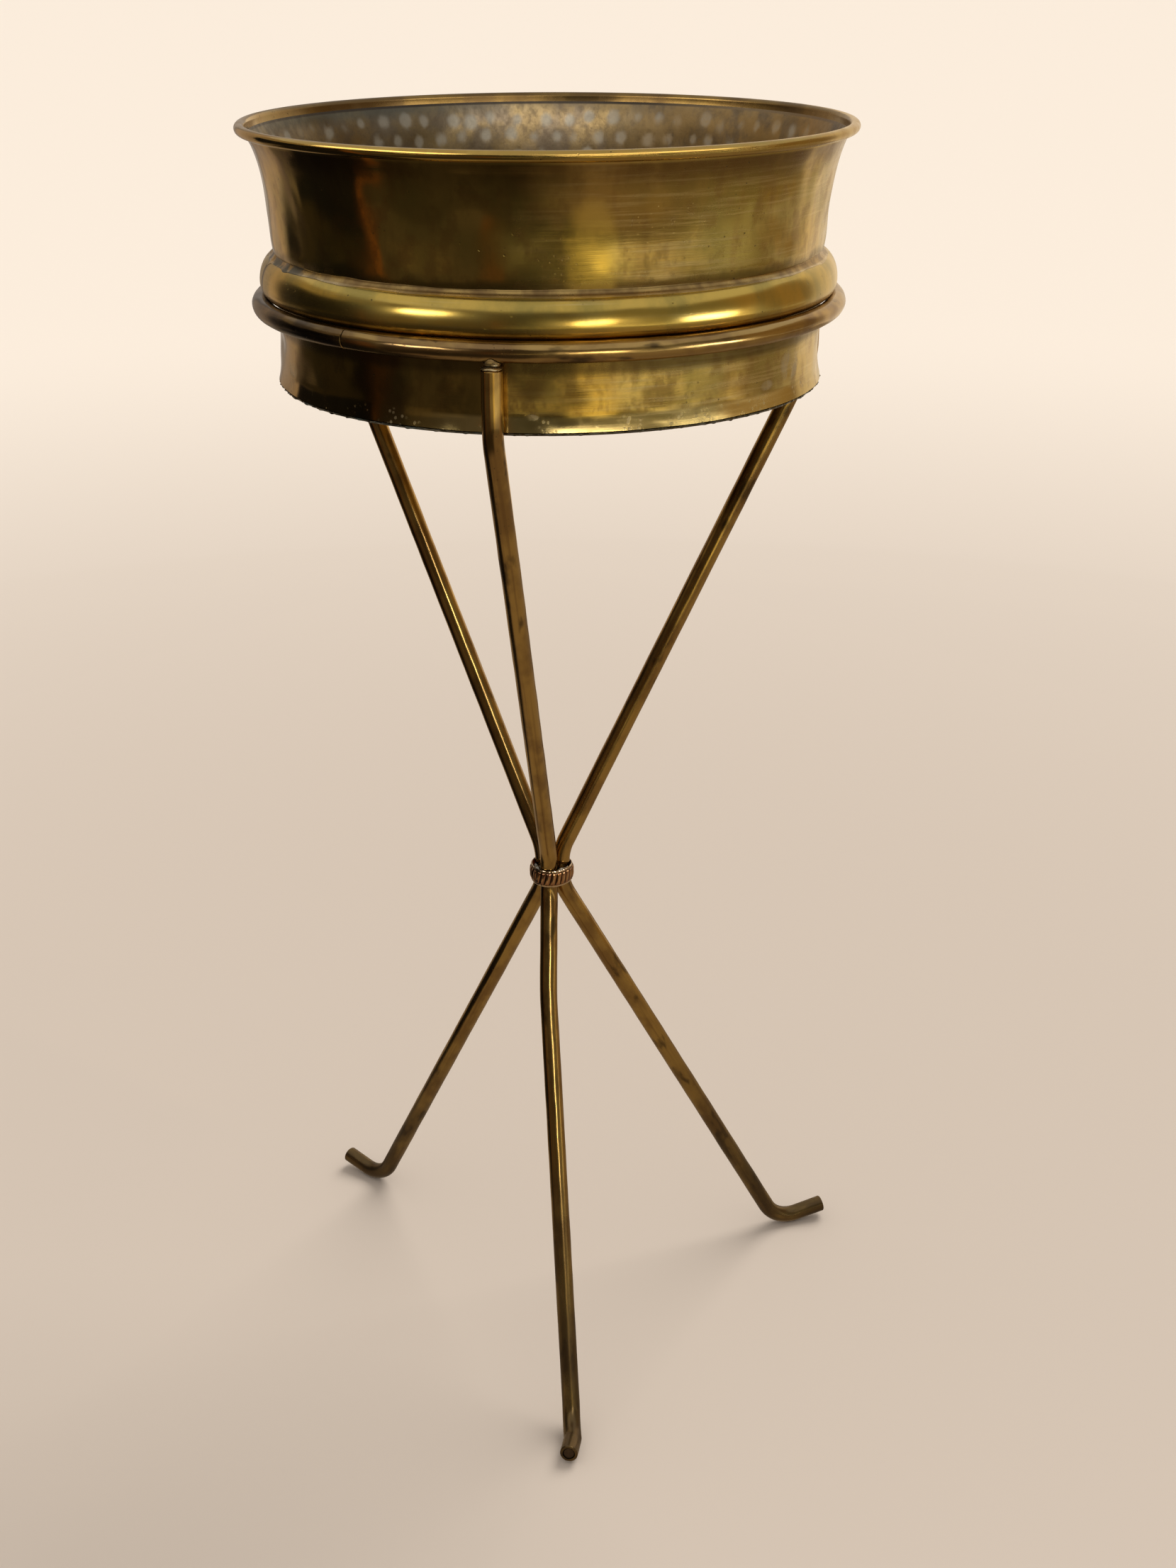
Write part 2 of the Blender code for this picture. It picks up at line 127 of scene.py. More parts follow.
# Legs.
LEG_TUBE = 0.0050
LEG_BORE = 0.0035
LEG_EASE = 0.0005
LEG_TOP = 0.6025
SHOULDER_HEIGHT = 0.5700
SHOULDER_BEND = 0.0300
WAIST_BEND = 0.0300
FOOT_BEND = 0.0200
BEND_STEPS = 12
RUN_STEP = 0.006
TUBE_SIDES = 36
TUBE_WOBBLE = 0.00003
# Each leg's azimuth at the ring, azimuth and radius of the point that it stands on, azimuth and
# rise of its toe, and the toe's length.
DEGREE = math.radians(1)
LEGS = {
    "front": (-8.8 * DEGREE, 4.0 * DEGREE, 0.1612, -8.0 * DEGREE, 8.5 * DEGREE, 0.0115),
    "right": (107.7 * DEGREE, 108.1 * DEGREE, 0.1595, 108.1 * DEGREE, 10.6 * DEGREE, 0.0183),
    "left": (-126.5 * DEGREE, -127.1 * DEGREE, 0.1636, -127.1 * DEGREE, 11.3 * DEGREE, 0.0168),
}
# A kink below the collar: part of the way to the foot, and how far it stands to the side.
KINKS = {"front": (0.21, -0.0030)}
KINK_BEND = 0.1500
PIN_HOLE = 0.0021
PLUG_SHANK = 0.0030
PLUG_SHANK_LENGTH = 0.0100
PLUG_DOME = 0.0016
PLUG_DOME_END = math.radians(68)
BRAZE_RADIUS = 0.0036
# The braze's profile from the cap up to the ring: part of its height and of its radius.
BRAZE_PROFILE = ((0, 0.62), (0, 1.0), (0.3, 0.92), (0.7, 0.95), (1, 1.12), (1, 0.62))
FOOT_PLUG = 0.0033
FOOT_PLUG_LENGTH = 0.0060
FOOT_PLUG_RECESS = 0.0003

# Collar and the solder in it.
COLLAR_HEIGHT = 0.2815
COLLAR_HALF_HEIGHT = 0.0050
COLLAR_INNER = 0.0113
COLLAR_TRIANGLE = 0.00035
COLLAR_EDGE = 0.0006
COLLAR_BULGE = 0.0009
COLLAR_REED = 0.0007
COLLAR_REEDS = 24
COLLAR_LIP = 0.74
COLLAR_SLANT = math.radians(5)
COLLAR_CENTRE_X = -0.0022
COLLAR_TURN = math.radians(-12)
WAIST_RADIUS = (2 * LEG_TUBE + GAP) / math.sqrt(3)
WAIST_ABOVE = 0.0125
WAIST_BELOW = 0.0090
SOLDER_BOTTOM = 0.2818
SOLDER_TOP = 0.2850
SOLDER_RADIUS = 0.0105
SOLDER_SPREAD = math.radians(38)
# The solder's profile from its underside up to its top: part of its outline and of its height.
POOL_PROFILE = (
    (0, 0), (1, 0), (1, 0.75), (0.93, 0.95), (0.75, 1.1), (0.5, 1.2), (0.25, 1.25), (0, 1.3),
)

wall_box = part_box("tub_wall")
AXIS = Vector(((wall_box[0][0] + wall_box[1][0]) / 2, (wall_box[0][1] + wall_box[1][1]) / 2, 0))
AXIS.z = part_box("base_disc")[0][2] - (WALL_BOTTOM - GAP - BASE_THICKNESS)

# Knocks in the tub: azimuth and height, depth (inwards below 0), and half width and half height.
KNOCKS = (
    (-76, 0.5935, -0.0012, 0.016, 0.0060),
    (-57, 0.6560, -0.0003, 0.007, 0.0200),
    (41, 0.6720, -0.00025, 0.0030, 0.0060),
    (47, 0.6560, 0.00012, 0.0060, 0.0160),
    (60, 0.6700, -0.0003, 0.0060, 0.0200),
    (12, 0.6480, 0.00018, 0.0110, 0.0100),
    (-30, 0.6500, 0.00015, 0.0060, 0.0050),
    (150, 0.6600, -0.0006, 0.0120, 0.0090),
    (-160, 0.5920, -0.0005, 0.0100, 0.0060),
    (95, 0.6500, -0.0004, 0.0090, 0.0140),
)
WAVE = 0.00024
BUCKLE = 0.00013
RIPPLE = 0.000018
# Grey scuffs low on the wall: azimuth and height, and half width and half height.
SCUFFS = (
    (58, 0.5905, 0.010, 0.0085),
    (50, 0.5835, 0.007, 0.0035),
    (-2, 0.5795, 0.004, 0.0016),
    (-66, 0.5850, 0.012, 0.0050),
)


# Points and meshes


def steps(start, end, count):
    return np.linspace(start, end, count + 1)


def place(radius, azimuth, height, centre=AXIS):
    """Points about a vertical axis through centre, from arrays that fit together."""
    x = centre.x + radius * np.sin(azimuth)
    y = centre.y - radius * np.cos(azimuth)
    return np.stack(np.broadcast_arrays(x, y, centre.z + height), axis=-1)


def polar(radius, azimuth, height):
    return Vector(place(radius, azimuth, height))


def turn_between(azimuth, other):
    """The turn from one azimuth to another, at most half a turn either way."""
    return (azimuth - other + math.pi) % FULL_TURN - math.pi


def unit(vectors):
    return vectors / np.linalg.norm(vectors, axis=-1, keepdims=True)


def waves(seed, azimuth, height, around, up, count=24):
    """Irregular smooth values about 0, mostly between -2 and 2, which close round the axis."""
    rng = np.random.default_rng(seed)
    total = 0
    for _ in range(count):
        turns = rng.integers(max(1, around // 3), around + 1)
        rise = rng.uniform(-up, up)
        total = total + np.cos(turns * azimuth + FULL_TURN * (rise * height + rng.uniform()))
    return total * math.sqrt(2 / count)


def new_object(name, data):
    obj = bpy.data.objects.new(name, data)
    bpy.context.scene.collection.objects.link(obj)
    return obj


def grid_object(name, points, material, round_rows=True, round_columns=True, values=None):
    """A smooth mesh over rows x columns of points, closed on itself or capped either way."""
    rows, columns = points.shape[:2]
    index = np.arange(rows * columns).reshape(rows, columns)
    if round_rows:
        index = np.vstack([index, index[:1]])
    if round_columns:
        index = np.hstack([index, index[:, :1]])
    corners = (index[:-1, :-1], index[:-1, 1:], index[1:, 1:], index[1:, :-1])
    faces = np.stack(corners, axis=-1).reshape(-1, 4).tolist()
    if not round_rows:
        faces += [index[0, :columns].tolist(), index[-1, :columns].tolist()]
    if not round_columns:
        faces += [index[:rows, 0].tolist(), index[:rows, -1].tolist()]
    mesh = bpy.data.meshes.new(name)
    mesh.from_pydata(points.reshape(-1, 3).tolist(), [], faces)
    for key, value in (values or {}).items():
        kind, field = ("FLOAT_VECTOR", "vector") if value.ndim == 3 else ("FLOAT", "value")
        layer = mesh.attributes.new(key, kind, "POINT")
        layer.data.foreach_set(field, value.astype(np.float32).ravel())
    bm = bmesh.new()
    bm.from_mesh(mesh)
    bmesh.ops.remove_doubles(bm, verts=bm.verts, dist=MERGE)
    bmesh.ops.recalc_face_normals(bm, faces=bm.faces)
    bm.to_mesh(mesh)
    bm.free()
    mesh.shade_smooth()
    mesh.set_sharp_from_angle(angle=SHARP_ANGLE)
    mesh.materials.append(material)
    return new_object(name, mesh)


def azimuths(count=COLUMNS):
    return np.arange(count) * FULL_TURN / count


def open_turn(joint, radius):
    """Azimuths once round from a butt joint's one side to its other."""
    half = JOINT_GAP / radius / 2
    return steps(joint + half, joint + FULL_TURN - half, COLUMNS)


def sheet_section(line, thickness):
    """A closed (radius, height) section round a line, half the thickness to each side of it."""
    line = np.asarray(line, dtype=float)
    along = unit(np.gradient(line, axis=0))
    normal = np.stack([along[:, 1], -along[:, 0]], axis=-1) * thickness / 2
    return np.vstack([line + normal, (line - normal)[::-1]])


def pipe(name, path, side, outer, inner, material, ease, rough=0.0):
    """Sweep a tube with eased ends along a path, or a solid rod if inner is 0.

    The value "straight" is each point's place on the tube as it was before it was bent.
    """
    path = np.array([tuple(point) for point in path])
    count = len(path)
    along = unit(np.gradient(path, axis=0))
    across = unit(side - along * (along @ side)[:, None])
    up = np.cross(along, across)
    length = np.concatenate([[0], np.cumsum(np.linalg.norm(np.diff(path, axis=0), axis=1))])
    order = [0, *range(count), count - 1]
    radius = [outer - ease] + [outer] * count + [outer - ease]
    slide = [0, ease] + [0] * (count - 2) + [-ease, 0]
    if inner:
        order += range(count - 1, -1, -1)
        radius += [inner] * count
        slide += [0] * count
    order, radius, slide = np.array(order), np.array(radius)[:, None], np.array(slide)[:, None]
    turn = azimuths(TUBE_SIDES)[None, :]
    wobble = rough * waves(len(name), turn, length[order][:, None], 5, 60)
    radius = radius + np.where(radius > inner, wobble, 0)
    centre = path[order] + along[order] * slide
    out = up[order][:, None] * np.cos(turn)[..., None]
    out = out + across[order][:, None] * np.sin(turn)[..., None]
    points = centre[:, None] + radius[..., None] * out
    far = np.broadcast_to(length[order][:, None], points.shape[:2])
    straight = np.stack([radius * np.cos(turn), radius * np.sin(turn), far], axis=-1)
    values = {"straight": straight}
    return grid_object(name, points, material, round_rows=bool(inner), values=values)


def show(piece, body, node):
    """The piece rides on a body and stands for this CAD node."""
    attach(piece, body)
    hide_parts(node)
    return piece


# Finishes


class Finish:
    """A metal finish: a Principled material with short ways to add nodes to it."""

    def __init__(self, name, straight=False):
        self.material = bpy.data.materials.new(name)
        self.material.use_nodes = True
        self.tree = self.material.node_tree
        self.shader = self.tree.nodes["Principled BSDF"]
        self.shader.inputs["Metallic"].default_value = 1.0
        self.color = None
        world = self.node("TexCoord").outputs["Object"]
        shifted = self.node("VectorMath", {"operation": "SUBTRACT"}, {0: world, 1: tuple(AXIS)})
        self.point = shifted.outputs[0]
        if straight:
            self.point = self.node("Attribute", {"attribute_name": "straight"}).outputs["Vector"]
        parts = self.node("SeparateXYZ", {}, {0: shifted.outputs[0]}).outputs
        self.height = parts[2]
        self.azimuth = self.math("ARCTAN2", parts[0], self.times(parts[1], -1))

    def node(self, kind, settings=None, inputs=None):
        made = self.tree.nodes.new("ShaderNode" + kind)
        for key, value in (settings or {}).items():
            setattr(made, key, value)
        for key, value in (inputs or {}).items():
            if isinstance(value, bpy.types.NodeSocket):
                self.tree.links.new(value, made.inputs[key])
            else:
                made.inputs[key].default_value = value
        return made

    def math(self, operation, first, *others):
        """One operation over the values, from left to right."""
        for other in others:
            first = self.node("Math", {"operation": operation}, {0: first, 1: other}).outputs[0]
        return first

    def times(self, *values):
        return self.math("MULTIPLY", *values)

    def plus(self, *values):
        return self.math("ADD", *values)

    def minus(self, *values):
        return self.math("SUBTRACT", *values)

    def most(self, *values):
        return self.math("MAXIMUM", *values)

    def size(self, value):
        return self.math("ABSOLUTE", value, 0.0)

    def remap(self, value, low, high, to_low=0.0, to_high=1.0):
        """The value, eased from low to high onto a new range. A low above high turns it over."""
        inputs = {0: value, 1: low, 2: high, 3: to_low, 4: to_high}
        if low > high:
            inputs = {0: value, 1: high, 2: low, 3: to_high, 4: to_low}
        return self.node("MapRange", {"interpolation_type": "SMOOTHSTEP"}, inputs).outputs[0]

    def noise(self, scale, detail=3.0, stretch=(1, 1, 1), roughness=0.5, shift=0.0):
        """Cloudy noise with about scale features in a metre, times stretch along each axis."""
        factors = tuple(scale * part for part in stretch)
        inputs = {0: self.point, 1: factors, 2: (shift, shift, shift)}
        spot = self.node("VectorMath", {"operation": "MULTIPLY_ADD"}, inputs).outputs[0]
        inputs = {"Vector": spot, "Scale": 1.0, "Detail": detail, "Roughness": roughness}
        return self.node("TexNoise", {}, inputs).outputs[0]

    def pits(self, scale, size, keep):
        """Small round marks on a grid of about scale cells a metre, where the value keep is 1."""
        spot = self.node("VectorMath", {"operation": "SCALE"}, {0: self.point, "Scale": scale})
        cells = self.node("TexVoronoi", {}, {"Vector": spot.outputs[0], "Scale": 1.0})
        return self.times(self.remap(cells.outputs["Distance"], size, size * 0.5), keep)

    def mix(self, factor, a, b):
        """Colour a where the factor is 0 and colour b where it is 1."""
        a, b = ((*color, 1.0) if isinstance(color, tuple) else color for color in (a, b))
        return self.node("Mix", {"data_type": "RGBA"}, {0: factor, 6: a, 7: b}).outputs[2]

    def paint(self, shade, *amounts):
        """Lay a shade over the colour so far, as much as the product of the amounts."""
        self.color = self.mix(self.times(*amounts), self.color, shade)

    def band(self, value, low, high, soft):
        """1 between low and high, easing to 0 within soft of them."""
        up = self.remap(value, low - soft, low + soft)
        return self.times(up, self.remap(value, high + soft, high - soft))

    def sector(self, low, high, soft):
        """A band of azimuth, in degrees."""
        return self.band(self.azimuth, *(math.radians(angle) for angle in (low, high, soft)))

    def away(self):
        """Distance from the origin of the pattern."""
        return self.node("VectorMath", {"operation": "LENGTH"}, {0: self.point}).outputs["Value"]

    def spot(self, azimuth, height, wide, tall, wobble=None):
        """1 in an oval patch on the tub at azimuth in degrees, easing to 0 at its edge."""
        off = self.times(self.minus(self.azimuth, math.radians(azimuth)), WALL_RADIUS / wide)
        rise = self.times(self.minus(self.height, height), 1 / tall)
        away = self.plus(self.times(off, off), self.times(rise, rise))
        if wobble is not None:
            away = self.plus(away, wobble)
        return self.remap(away, 1.0, 0.35)

    def finish(self, roughness, height, depth, metallic=None):
        """The material, with its bumps this deep."""
        shader = self.shader.inputs
        self.tree.links.new(self.color, shader["Base Color"])
        self.tree.links.new(roughness, shader["Roughness"])
        if metallic is not None:
            self.tree.links.new(metallic, shader["Metallic"])
        bump = self.node("Bump", {}, {"Height": height, "Distance": depth, "Strength": 1.0})
        self.tree.links.new(bump.outputs[0], shader["Normal"])
        return self.material


GOLD = (0.60, 0.42, 0.115)
PALE_GOLD = (0.72, 0.57, 0.27)
OLIVE = (0.40, 0.31, 0.085)
BROWN = (0.30, 0.175, 0.055)
UMBER = (0.050, 0.034, 0.020)
GREY = (0.36, 0.31, 0.21)
TEAL = (0.060, 0.078, 0.072)


def tub_brass():
    """Satin brass with level polishing lines, cloudy patina, grime and painted shade at its edges,
    painted reflections and scuffs.
    """
    g = Finish("tub_brass")
    broad = g.noise(9, 3, (1, 1, 0.8))
    cloud = g.noise(34, 5, (1, 1, 0.7), 0.55, 3.1)
    mottle = g.noise(105, 4, (1, 1, 0.7), 0.6, 11.0)
    lines = g.noise(1, 4, (24, 24, 620), 0.6)
    hairs = g.noise(1, 2, (60, 60, 2600), 0.6, 5.0)
    drips = g.noise(1, 4, (95, 95, 14), 0.55, 8.0)
    wobble = g.remap(cloud, 0.25, 0.75, -0.45, 0.45)
    right = g.sector(2, 128, 16)

    g.color = g.mix(g.remap(cloud, 0.36, 0.66), GOLD, OLIVE)
    g.paint(BROWN, g.remap(mottle, 0.46, 0.66), 0.50)
    g.paint(BROWN, g.remap(broad, 0.44, 0.62), 0.60)
    g.paint(BROWN, g.remap(drips, 0.52, 0.70), 0.35)
    g.paint(PALE_GOLD, g.remap(lines, 0.46, 0.70), right, 0.42)
    g.paint(OLIVE, g.remap(lines, 0.50, 0.30), g.remap(mottle, 0.40, 0.60), 0.40)

    # Grime and painted shade under the rolled rim, and the roll itself, browner at the back.
    rim_grime_and_shade = g.times(g.remap(g.height, 0.674, 0.690), g.remap(cloud, 0.30, 0.62, 0.45, 0.95))
    below_roll = g.remap(g.height, 0.6915, 0.6900)
    g.paint((0.15, 0.080, 0.028), rim_grime_and_shade, below_roll, 0.85)
    back = g.remap(g.size(g.azimuth), math.radians(85), math.radians(125))
    roll = g.remap(g.height, 0.6903, 0.6920)
    g.paint((0.46, 0.30, 0.085), roll, g.remap(mottle, 0.30, 0.62, 0.45, 0.90))
    g.paint((0.15, 0.095, 0.040), roll, back, g.remap(cloud, 0.30, 0.60, 0.65, 1.0))

    # Grime with drips and painted shade just above the bead, and painted shadow under the ring.
    seam_top = g.plus(g.height, g.times(g.minus(drips, 0.5), 0.010))
    seam = g.band(seam_top, 0.6350, 0.6395, 0.0020)
    under = g.band(g.height, 0.5985, 0.6060, 0.0022)
    seam_grime_and_shade = g.most(g.times(seam, 0.45), g.times(under, 0.60))
    g.paint(UMBER, seam_grime_and_shade)

    # Painted shade low on the left, standing in for a dark reflection.
    low_left_shade = g.times(g.sector(-44, -10, 6), g.remap(g.height, 0.612, 0.604))
    g.paint(UMBER, low_left_shade, g.remap(cloud, 0.30, 0.62, 0.35, 0.80))
    # Painted reflection of a light: a bright gold patch above the bead.
    g.paint((0.72, 0.52, 0.13), g.spot(9, 0.6485, 0.015, 0.026, wobble), 0.75)

    # The foot, with a painted highlight along its front, and its pits and scuffs.
    foot = g.remap(g.height, 0.5806, 0.5784)
    foot_highlight = g.times(foot, g.sector(-20, 58, 10))
    g.paint((0.82, 0.66, 0.30), foot_highlight, g.remap(cloud, 0.30, 0.50, 0.5, 0.9))
    foot_pits = g.pits(380, 0.40, g.times(foot, g.remap(mottle, 0.46, 0.62)))
    scuffs = g.most(*(g.spot(*scuff, wobble) for scuff in SCUFFS))
    scuffs = g.times(scuffs, g.remap(mottle, 0.36, 0.60, 0.05, 0.55))
    marks = g.most(g.times(foot_pits, 0.45), scuffs)
    g.paint(GREY, marks)

    speckled = g.most(g.spot(23, 0.6640, 0.022, 0.015), g.spot(3, 0.6500, 0.015, 0.012))
    specks = g.pits(330, 0.15, speckled)
    pits = g.pits(190, 0.10, g.remap(cloud, 0.48, 0.62))
    g.paint(PALE_GOLD, specks, 0.6)
    g.paint(UMBER, pits, 0.7)

    rough = g.remap(cloud, 0.40, 0.70, 0.09, 0.19)
    rough = g.plus(rough, g.times(g.remap(mottle, 0.45, 0.65), 0.07))
    rough = g.plus(rough, g.times(right, g.remap(lines, 0.35, 0.70, 0.05, 0.12)))
    rough = g.plus(rough, g.times(seam_grime_and_shade, 0.20), g.times(marks, 0.25), g.times(roll, back, 0.12))
    bump = g.plus(g.times(lines, right, 0.15), g.times(hairs, 0.06))
    bump = g.plus(bump, g.times(cloud, 0.12), g.times(mottle, 0.08))
    bump = g.minus(bump, g.plus(pits, g.times(marks, 0.5), g.times(specks, 0.4)))
    return g.finish(rough, bump, 0.00012, g.remap(marks, 0.0, 1.0, 1.0, 0.6))


def bead_brass():
    """Brighter brass, with painted shade where it turns under, and faint drawing lines."""
    g = Finish("bead_brass")
    cloud = g.noise(38, 5, (1, 1, 0.6), 0.55, 1.7)
    lines = g.noise(1, 4, (20, 20, 700), 0.6, 2.0)
    g.color = g.mix(g.remap(cloud, 0.40, 0.68), (0.64, 0.45, 0.105), OLIVE)
    # Painted shade: darker where the bead turns under.
    low = g.remap(g.height, BEAD_HEIGHT - 0.001, BEAD_HEIGHT - 0.009)
    g.paint(BROWN, low, g.remap(cloud, 0.30, 0.65, 0.35, 0.75))
    g.paint(PALE_GOLD, g.remap(lines, 0.55, 0.75), 0.30)
    joint = math.degrees(BEAD_JOINT_AZIMUTH)
    g.paint(UMBER, g.sector(joint - 1.2, joint + 1.2, 0.8), 0.8)
    pits = g.pits(260, 0.12, g.remap(cloud, 0.50, 0.60))
    g.paint(UMBER, pits, 0.7)
    rough = g.plus(g.remap(cloud, 0.3, 0.7, 0.19, 0.27), g.times(low, 0.05))
    bump = g.minus(g.plus(g.times(lines, 0.10), g.times(cloud, 0.15)), pits)
    return g.finish(rough, bump, 0.00012)


def tube_brass(name, colors, spots, rough_low, rough_high, left_shade=0.0):
    """Drawn tube with lengthwise streaks, dark spots and small pits, browner by the floor."""
    g = Finish(name, straight=True)
    clean, worn, dark = colors
    streaks = g.noise(1, 3, (420, 420, 9), 0.55)
    patches = g.noise(40, 3, (1.6, 1.6, 1), 0.55, 4.0)
    cloud = g.noise(120, 3, (1, 1, 0.35), 0.5, 9.0)
    g.color = g.mix(g.remap(patches, 0.40, 0.64), clean, worn)
    g.paint(dark, g.remap(streaks, 0.46, 0.70), 0.45)
    g.paint(UMBER, g.remap(cloud, 0.60, 0.72), spots)
    feet = g.remap(g.height, 0.190, 0.020, 0.0, 0.85)
    g.paint(UMBER, feet, g.remap(cloud, 0.25, 0.6, 0.6, 1.0))
    # Painted shade on the tube's left side, standing in for a dark reflection.
    left = g.times(g.sector(-130, -38, 14), g.remap(patches, 0.30, 0.60, 0.6, 1.0))
    g.paint(UMBER, left, left_shade)
    pits = g.pits(420, 0.16, g.remap(patches, 0.50, 0.60))
    g.paint(UMBER, pits, 0.6)
    rough = g.plus(g.remap(cloud, 0.3, 0.7, rough_low, rough_high), g.times(feet, 0.12))
    bump = g.plus(g.times(cloud, 0.3), g.times(streaks, 0.1))
    bump = g.minus(bump, g.times(pits, 0.7))
    return g.finish(rough, bump, 0.00008, g.remap(feet, 0.0, 1.0, 1.0, 0.85))


def collar_brass():
    """Coppery pressed strip, with painted highlights on its crests and edges and painted shade
    between its reeds.
    """
    g = Finish("collar_brass")
    raised = g.node("Attribute", {"attribute_name": "raised"}).outputs["Fac"]
    cloud = g.noise(260, 4)
    g.color = g.mix(g.remap(cloud, 0.35, 0.65), (0.50, 0.25, 0.11), (0.34, 0.17, 0.10))
    # Painted shade between the reeds.
    g.paint(UMBER, g.remap(raised, 0.45, 0.08))
    # Painted highlight on the reeds' crests.
    g.paint((0.74, 0.50, 0.24), g.remap(raised, 0.75, 1.0), 0.7)
    # Painted highlight along the strip's edges.
    off = g.size(g.minus(g.height, COLLAR_HEIGHT))
    lips = g.remap(off, 0.80 * COLLAR_HALF_HEIGHT, 0.92 * COLLAR_HALF_HEIGHT)
    g.paint((0.72, 0.60, 0.46), lips, 0.8)
    rough = g.remap(cloud, 0.3, 0.7, 0.10, 0.18)
    return g.finish(rough, cloud, 0.00006)


def tinned():
    """Hammered tin worn to brown and gold, with grey-white marks where the hammer fell."""
    g = Finish("tinned_lining")
    mark = g.node("Attribute", {"attribute_name": "mark"}).outputs["Fac"]
    cloud = g.noise(60, 5, (1, 1, 0.8), 0.6)
    fine = g.noise(260, 5, (1, 1, 0.8), 0.65, 2.0)
    broad = g.noise(14, 3, (1, 1, 1), 0.5, 5.0)
    g.color = g.mix(g.remap(cloud, 0.38, 0.62), (0.21, 0.160, 0.105), (0.30, 0.215, 0.105))
    g.paint((0.50, 0.36, 0.15), g.remap(broad, 0.50, 0.64), 0.45)
    g.paint((0.14, 0.10, 0.065), g.remap(fine, 0.46, 0.66, 0.0, 0.40))
    ragged = g.plus(mark, g.times(g.minus(fine, 0.5), 0.70))
    spot = g.remap(ragged, 0.10, 0.80)
    g.paint((0.46, 0.42, 0.34), spot, 0.75)
    side = g.remap(g.height, LINER_FLOOR + LINER_CORNER, LINER_FLOOR + 3 * LINER_CORNER)
    # Painted shade on the lining's back-left side.
    left = g.times(side, g.sector(-158, -95, 22))
    g.paint((0.07, 0.062, 0.046), left, 0.50)
    warm = g.times(side, g.sector(95, 160, 20))
    g.paint((0.46, 0.30, 0.12), warm, g.remap(cloud, 0.40, 0.60, 0.2, 0.8))
    top = g.remap(g.height, 0.684, 0.691)
    g.paint(TEAL, top, g.plus(g.times(left, 0.35), 0.15))
    low = g.remap(g.height, 0.640, 0.585)
    g.paint((0.18, 0.155, 0.12), low, 0.45)
    # Painted shadow of the rolled rim on the lining's lip, lighter at the right.
    lip = g.remap(g.height, RIM_HEIGHT - 0.0036, RIM_HEIGHT - 0.0028)
    edge = g.mix(g.sector(70, 150, 16), (0.055, 0.045, 0.035), (0.26, 0.19, 0.11))
    g.paint(edge, lip)
    rough = g.plus(g.remap(fine, 0.3, 0.7, 0.30, 0.44), g.times(spot, 0.08))
    bump = g.plus(g.times(fine, 0.5), cloud)
    return g.finish(rough, bump, 0.00016, g.remap(spot, 0.0, 1.0, 0.90, 0.55))


def braze_brass():
    """Smooth brass-coloured braze, brown in its hollow, with a painted highlight along its lower
    edge.
    """
    g = Finish("bead_braze")
    cloud = g.noise(90, 4, (1, 1, 0.7), 0.55, 7.0)
    g.color = g.mix(g.remap(cloud, 0.35, 0.65), (0.46, 0.315, 0.115), (0.24, 0.155, 0.065))
    # Painted highlight: a pale glint line along the braze's lower edge.
    edge = g.remap(g.height, 0.6343, 0.6337)
    g.paint((0.66, 0.53, 0.31), edge, g.remap(cloud, 0.65, 0.35, 0.5, 0.9))
    g.paint(TEAL, g.sector(-105, -52, 10), g.remap(cloud, 0.40, 0.55, 0.1, 0.9))
    return g.finish(g.remap(cloud, 0.3, 0.7, 0.24, 0.36), cloud, 0.00008)


def solder(name, bright, stained):
    """Dull, lumpy solder with dark flux stains, greener at the tub's left side."""
    g = Finish(name)
    lumps = g.noise(300, 5, roughness=0.6)
    stains = g.noise(70, 4, (1, 1, 1.5), 0.6, 6.0)
    g.color = g.mix(g.remap(lumps, 0.35, 0.65), bright, tuple(0.55 * part for part in bright))
    left = g.sector(-100, -12, 14)
    dark = g.times(g.remap(stains, 0.40, 0.58), g.plus(g.times(left, 3 * stained), stained))
    g.paint(TEAL, dark)
    rough = g.remap(lumps, 0.3, 0.7, 0.20, 0.36)
    return g.finish(rough, lumps, 0.00015, g.remap(dark, 0.0, 1.0, 0.95, 0.5))


# Tub


def tub_shift(azimuth, height):
    """How far the tub's sheets stand out or in: hand-worked waviness and a few knocks."""
    shift = WAVE * waves(3, azimuth, height, 9, 14) + BUCKLE * waves(5, azimuth, height, 24, 30)
    shift = shift + RIPPLE * waves(4, azimuth, height, 60, 70)
    for turn, level, depth, wide, tall in KNOCKS:
        off = turn_between(azimuth, math.radians(turn)) * WALL_RADIUS / wide
        shift = shift + depth * np.exp(-(off**2) - ((height - level) / tall) ** 2)
    held = np.exp(-(((height - BEAD_HEIGHT) / 0.013) ** 4))
    held = held + np.exp(-(((height - RIM_HEIGHT) / 0.006) ** 4))
    return shift * (1 - np.clip(held, 0, 1))


def wall_line(inset=0.0):
    """Middle of the wall's sheet from its foot's top to the rim, moved in by inset."""
    radius = WALL_RADIUS - SHEET / 2
    start = Vector((radius, FLARE_START))
    pulls = (start, start + FLARE_START_PULL, FLARE_END + FLARE_END_PULL, FLARE_END)
    flare = interpolate_bezier(*(point.to_3d() for point in pulls), FLARE_STEPS + 1)
    heights = steps(WALL_FOOT_TOP, FLARE_START, STRAIGHT_STEPS)[:-1]
    straight = [(radius, height) for height in heights]
    line = np.array(straight + [(point.x, point.y) for point in flare])
    return line - (inset, 0)


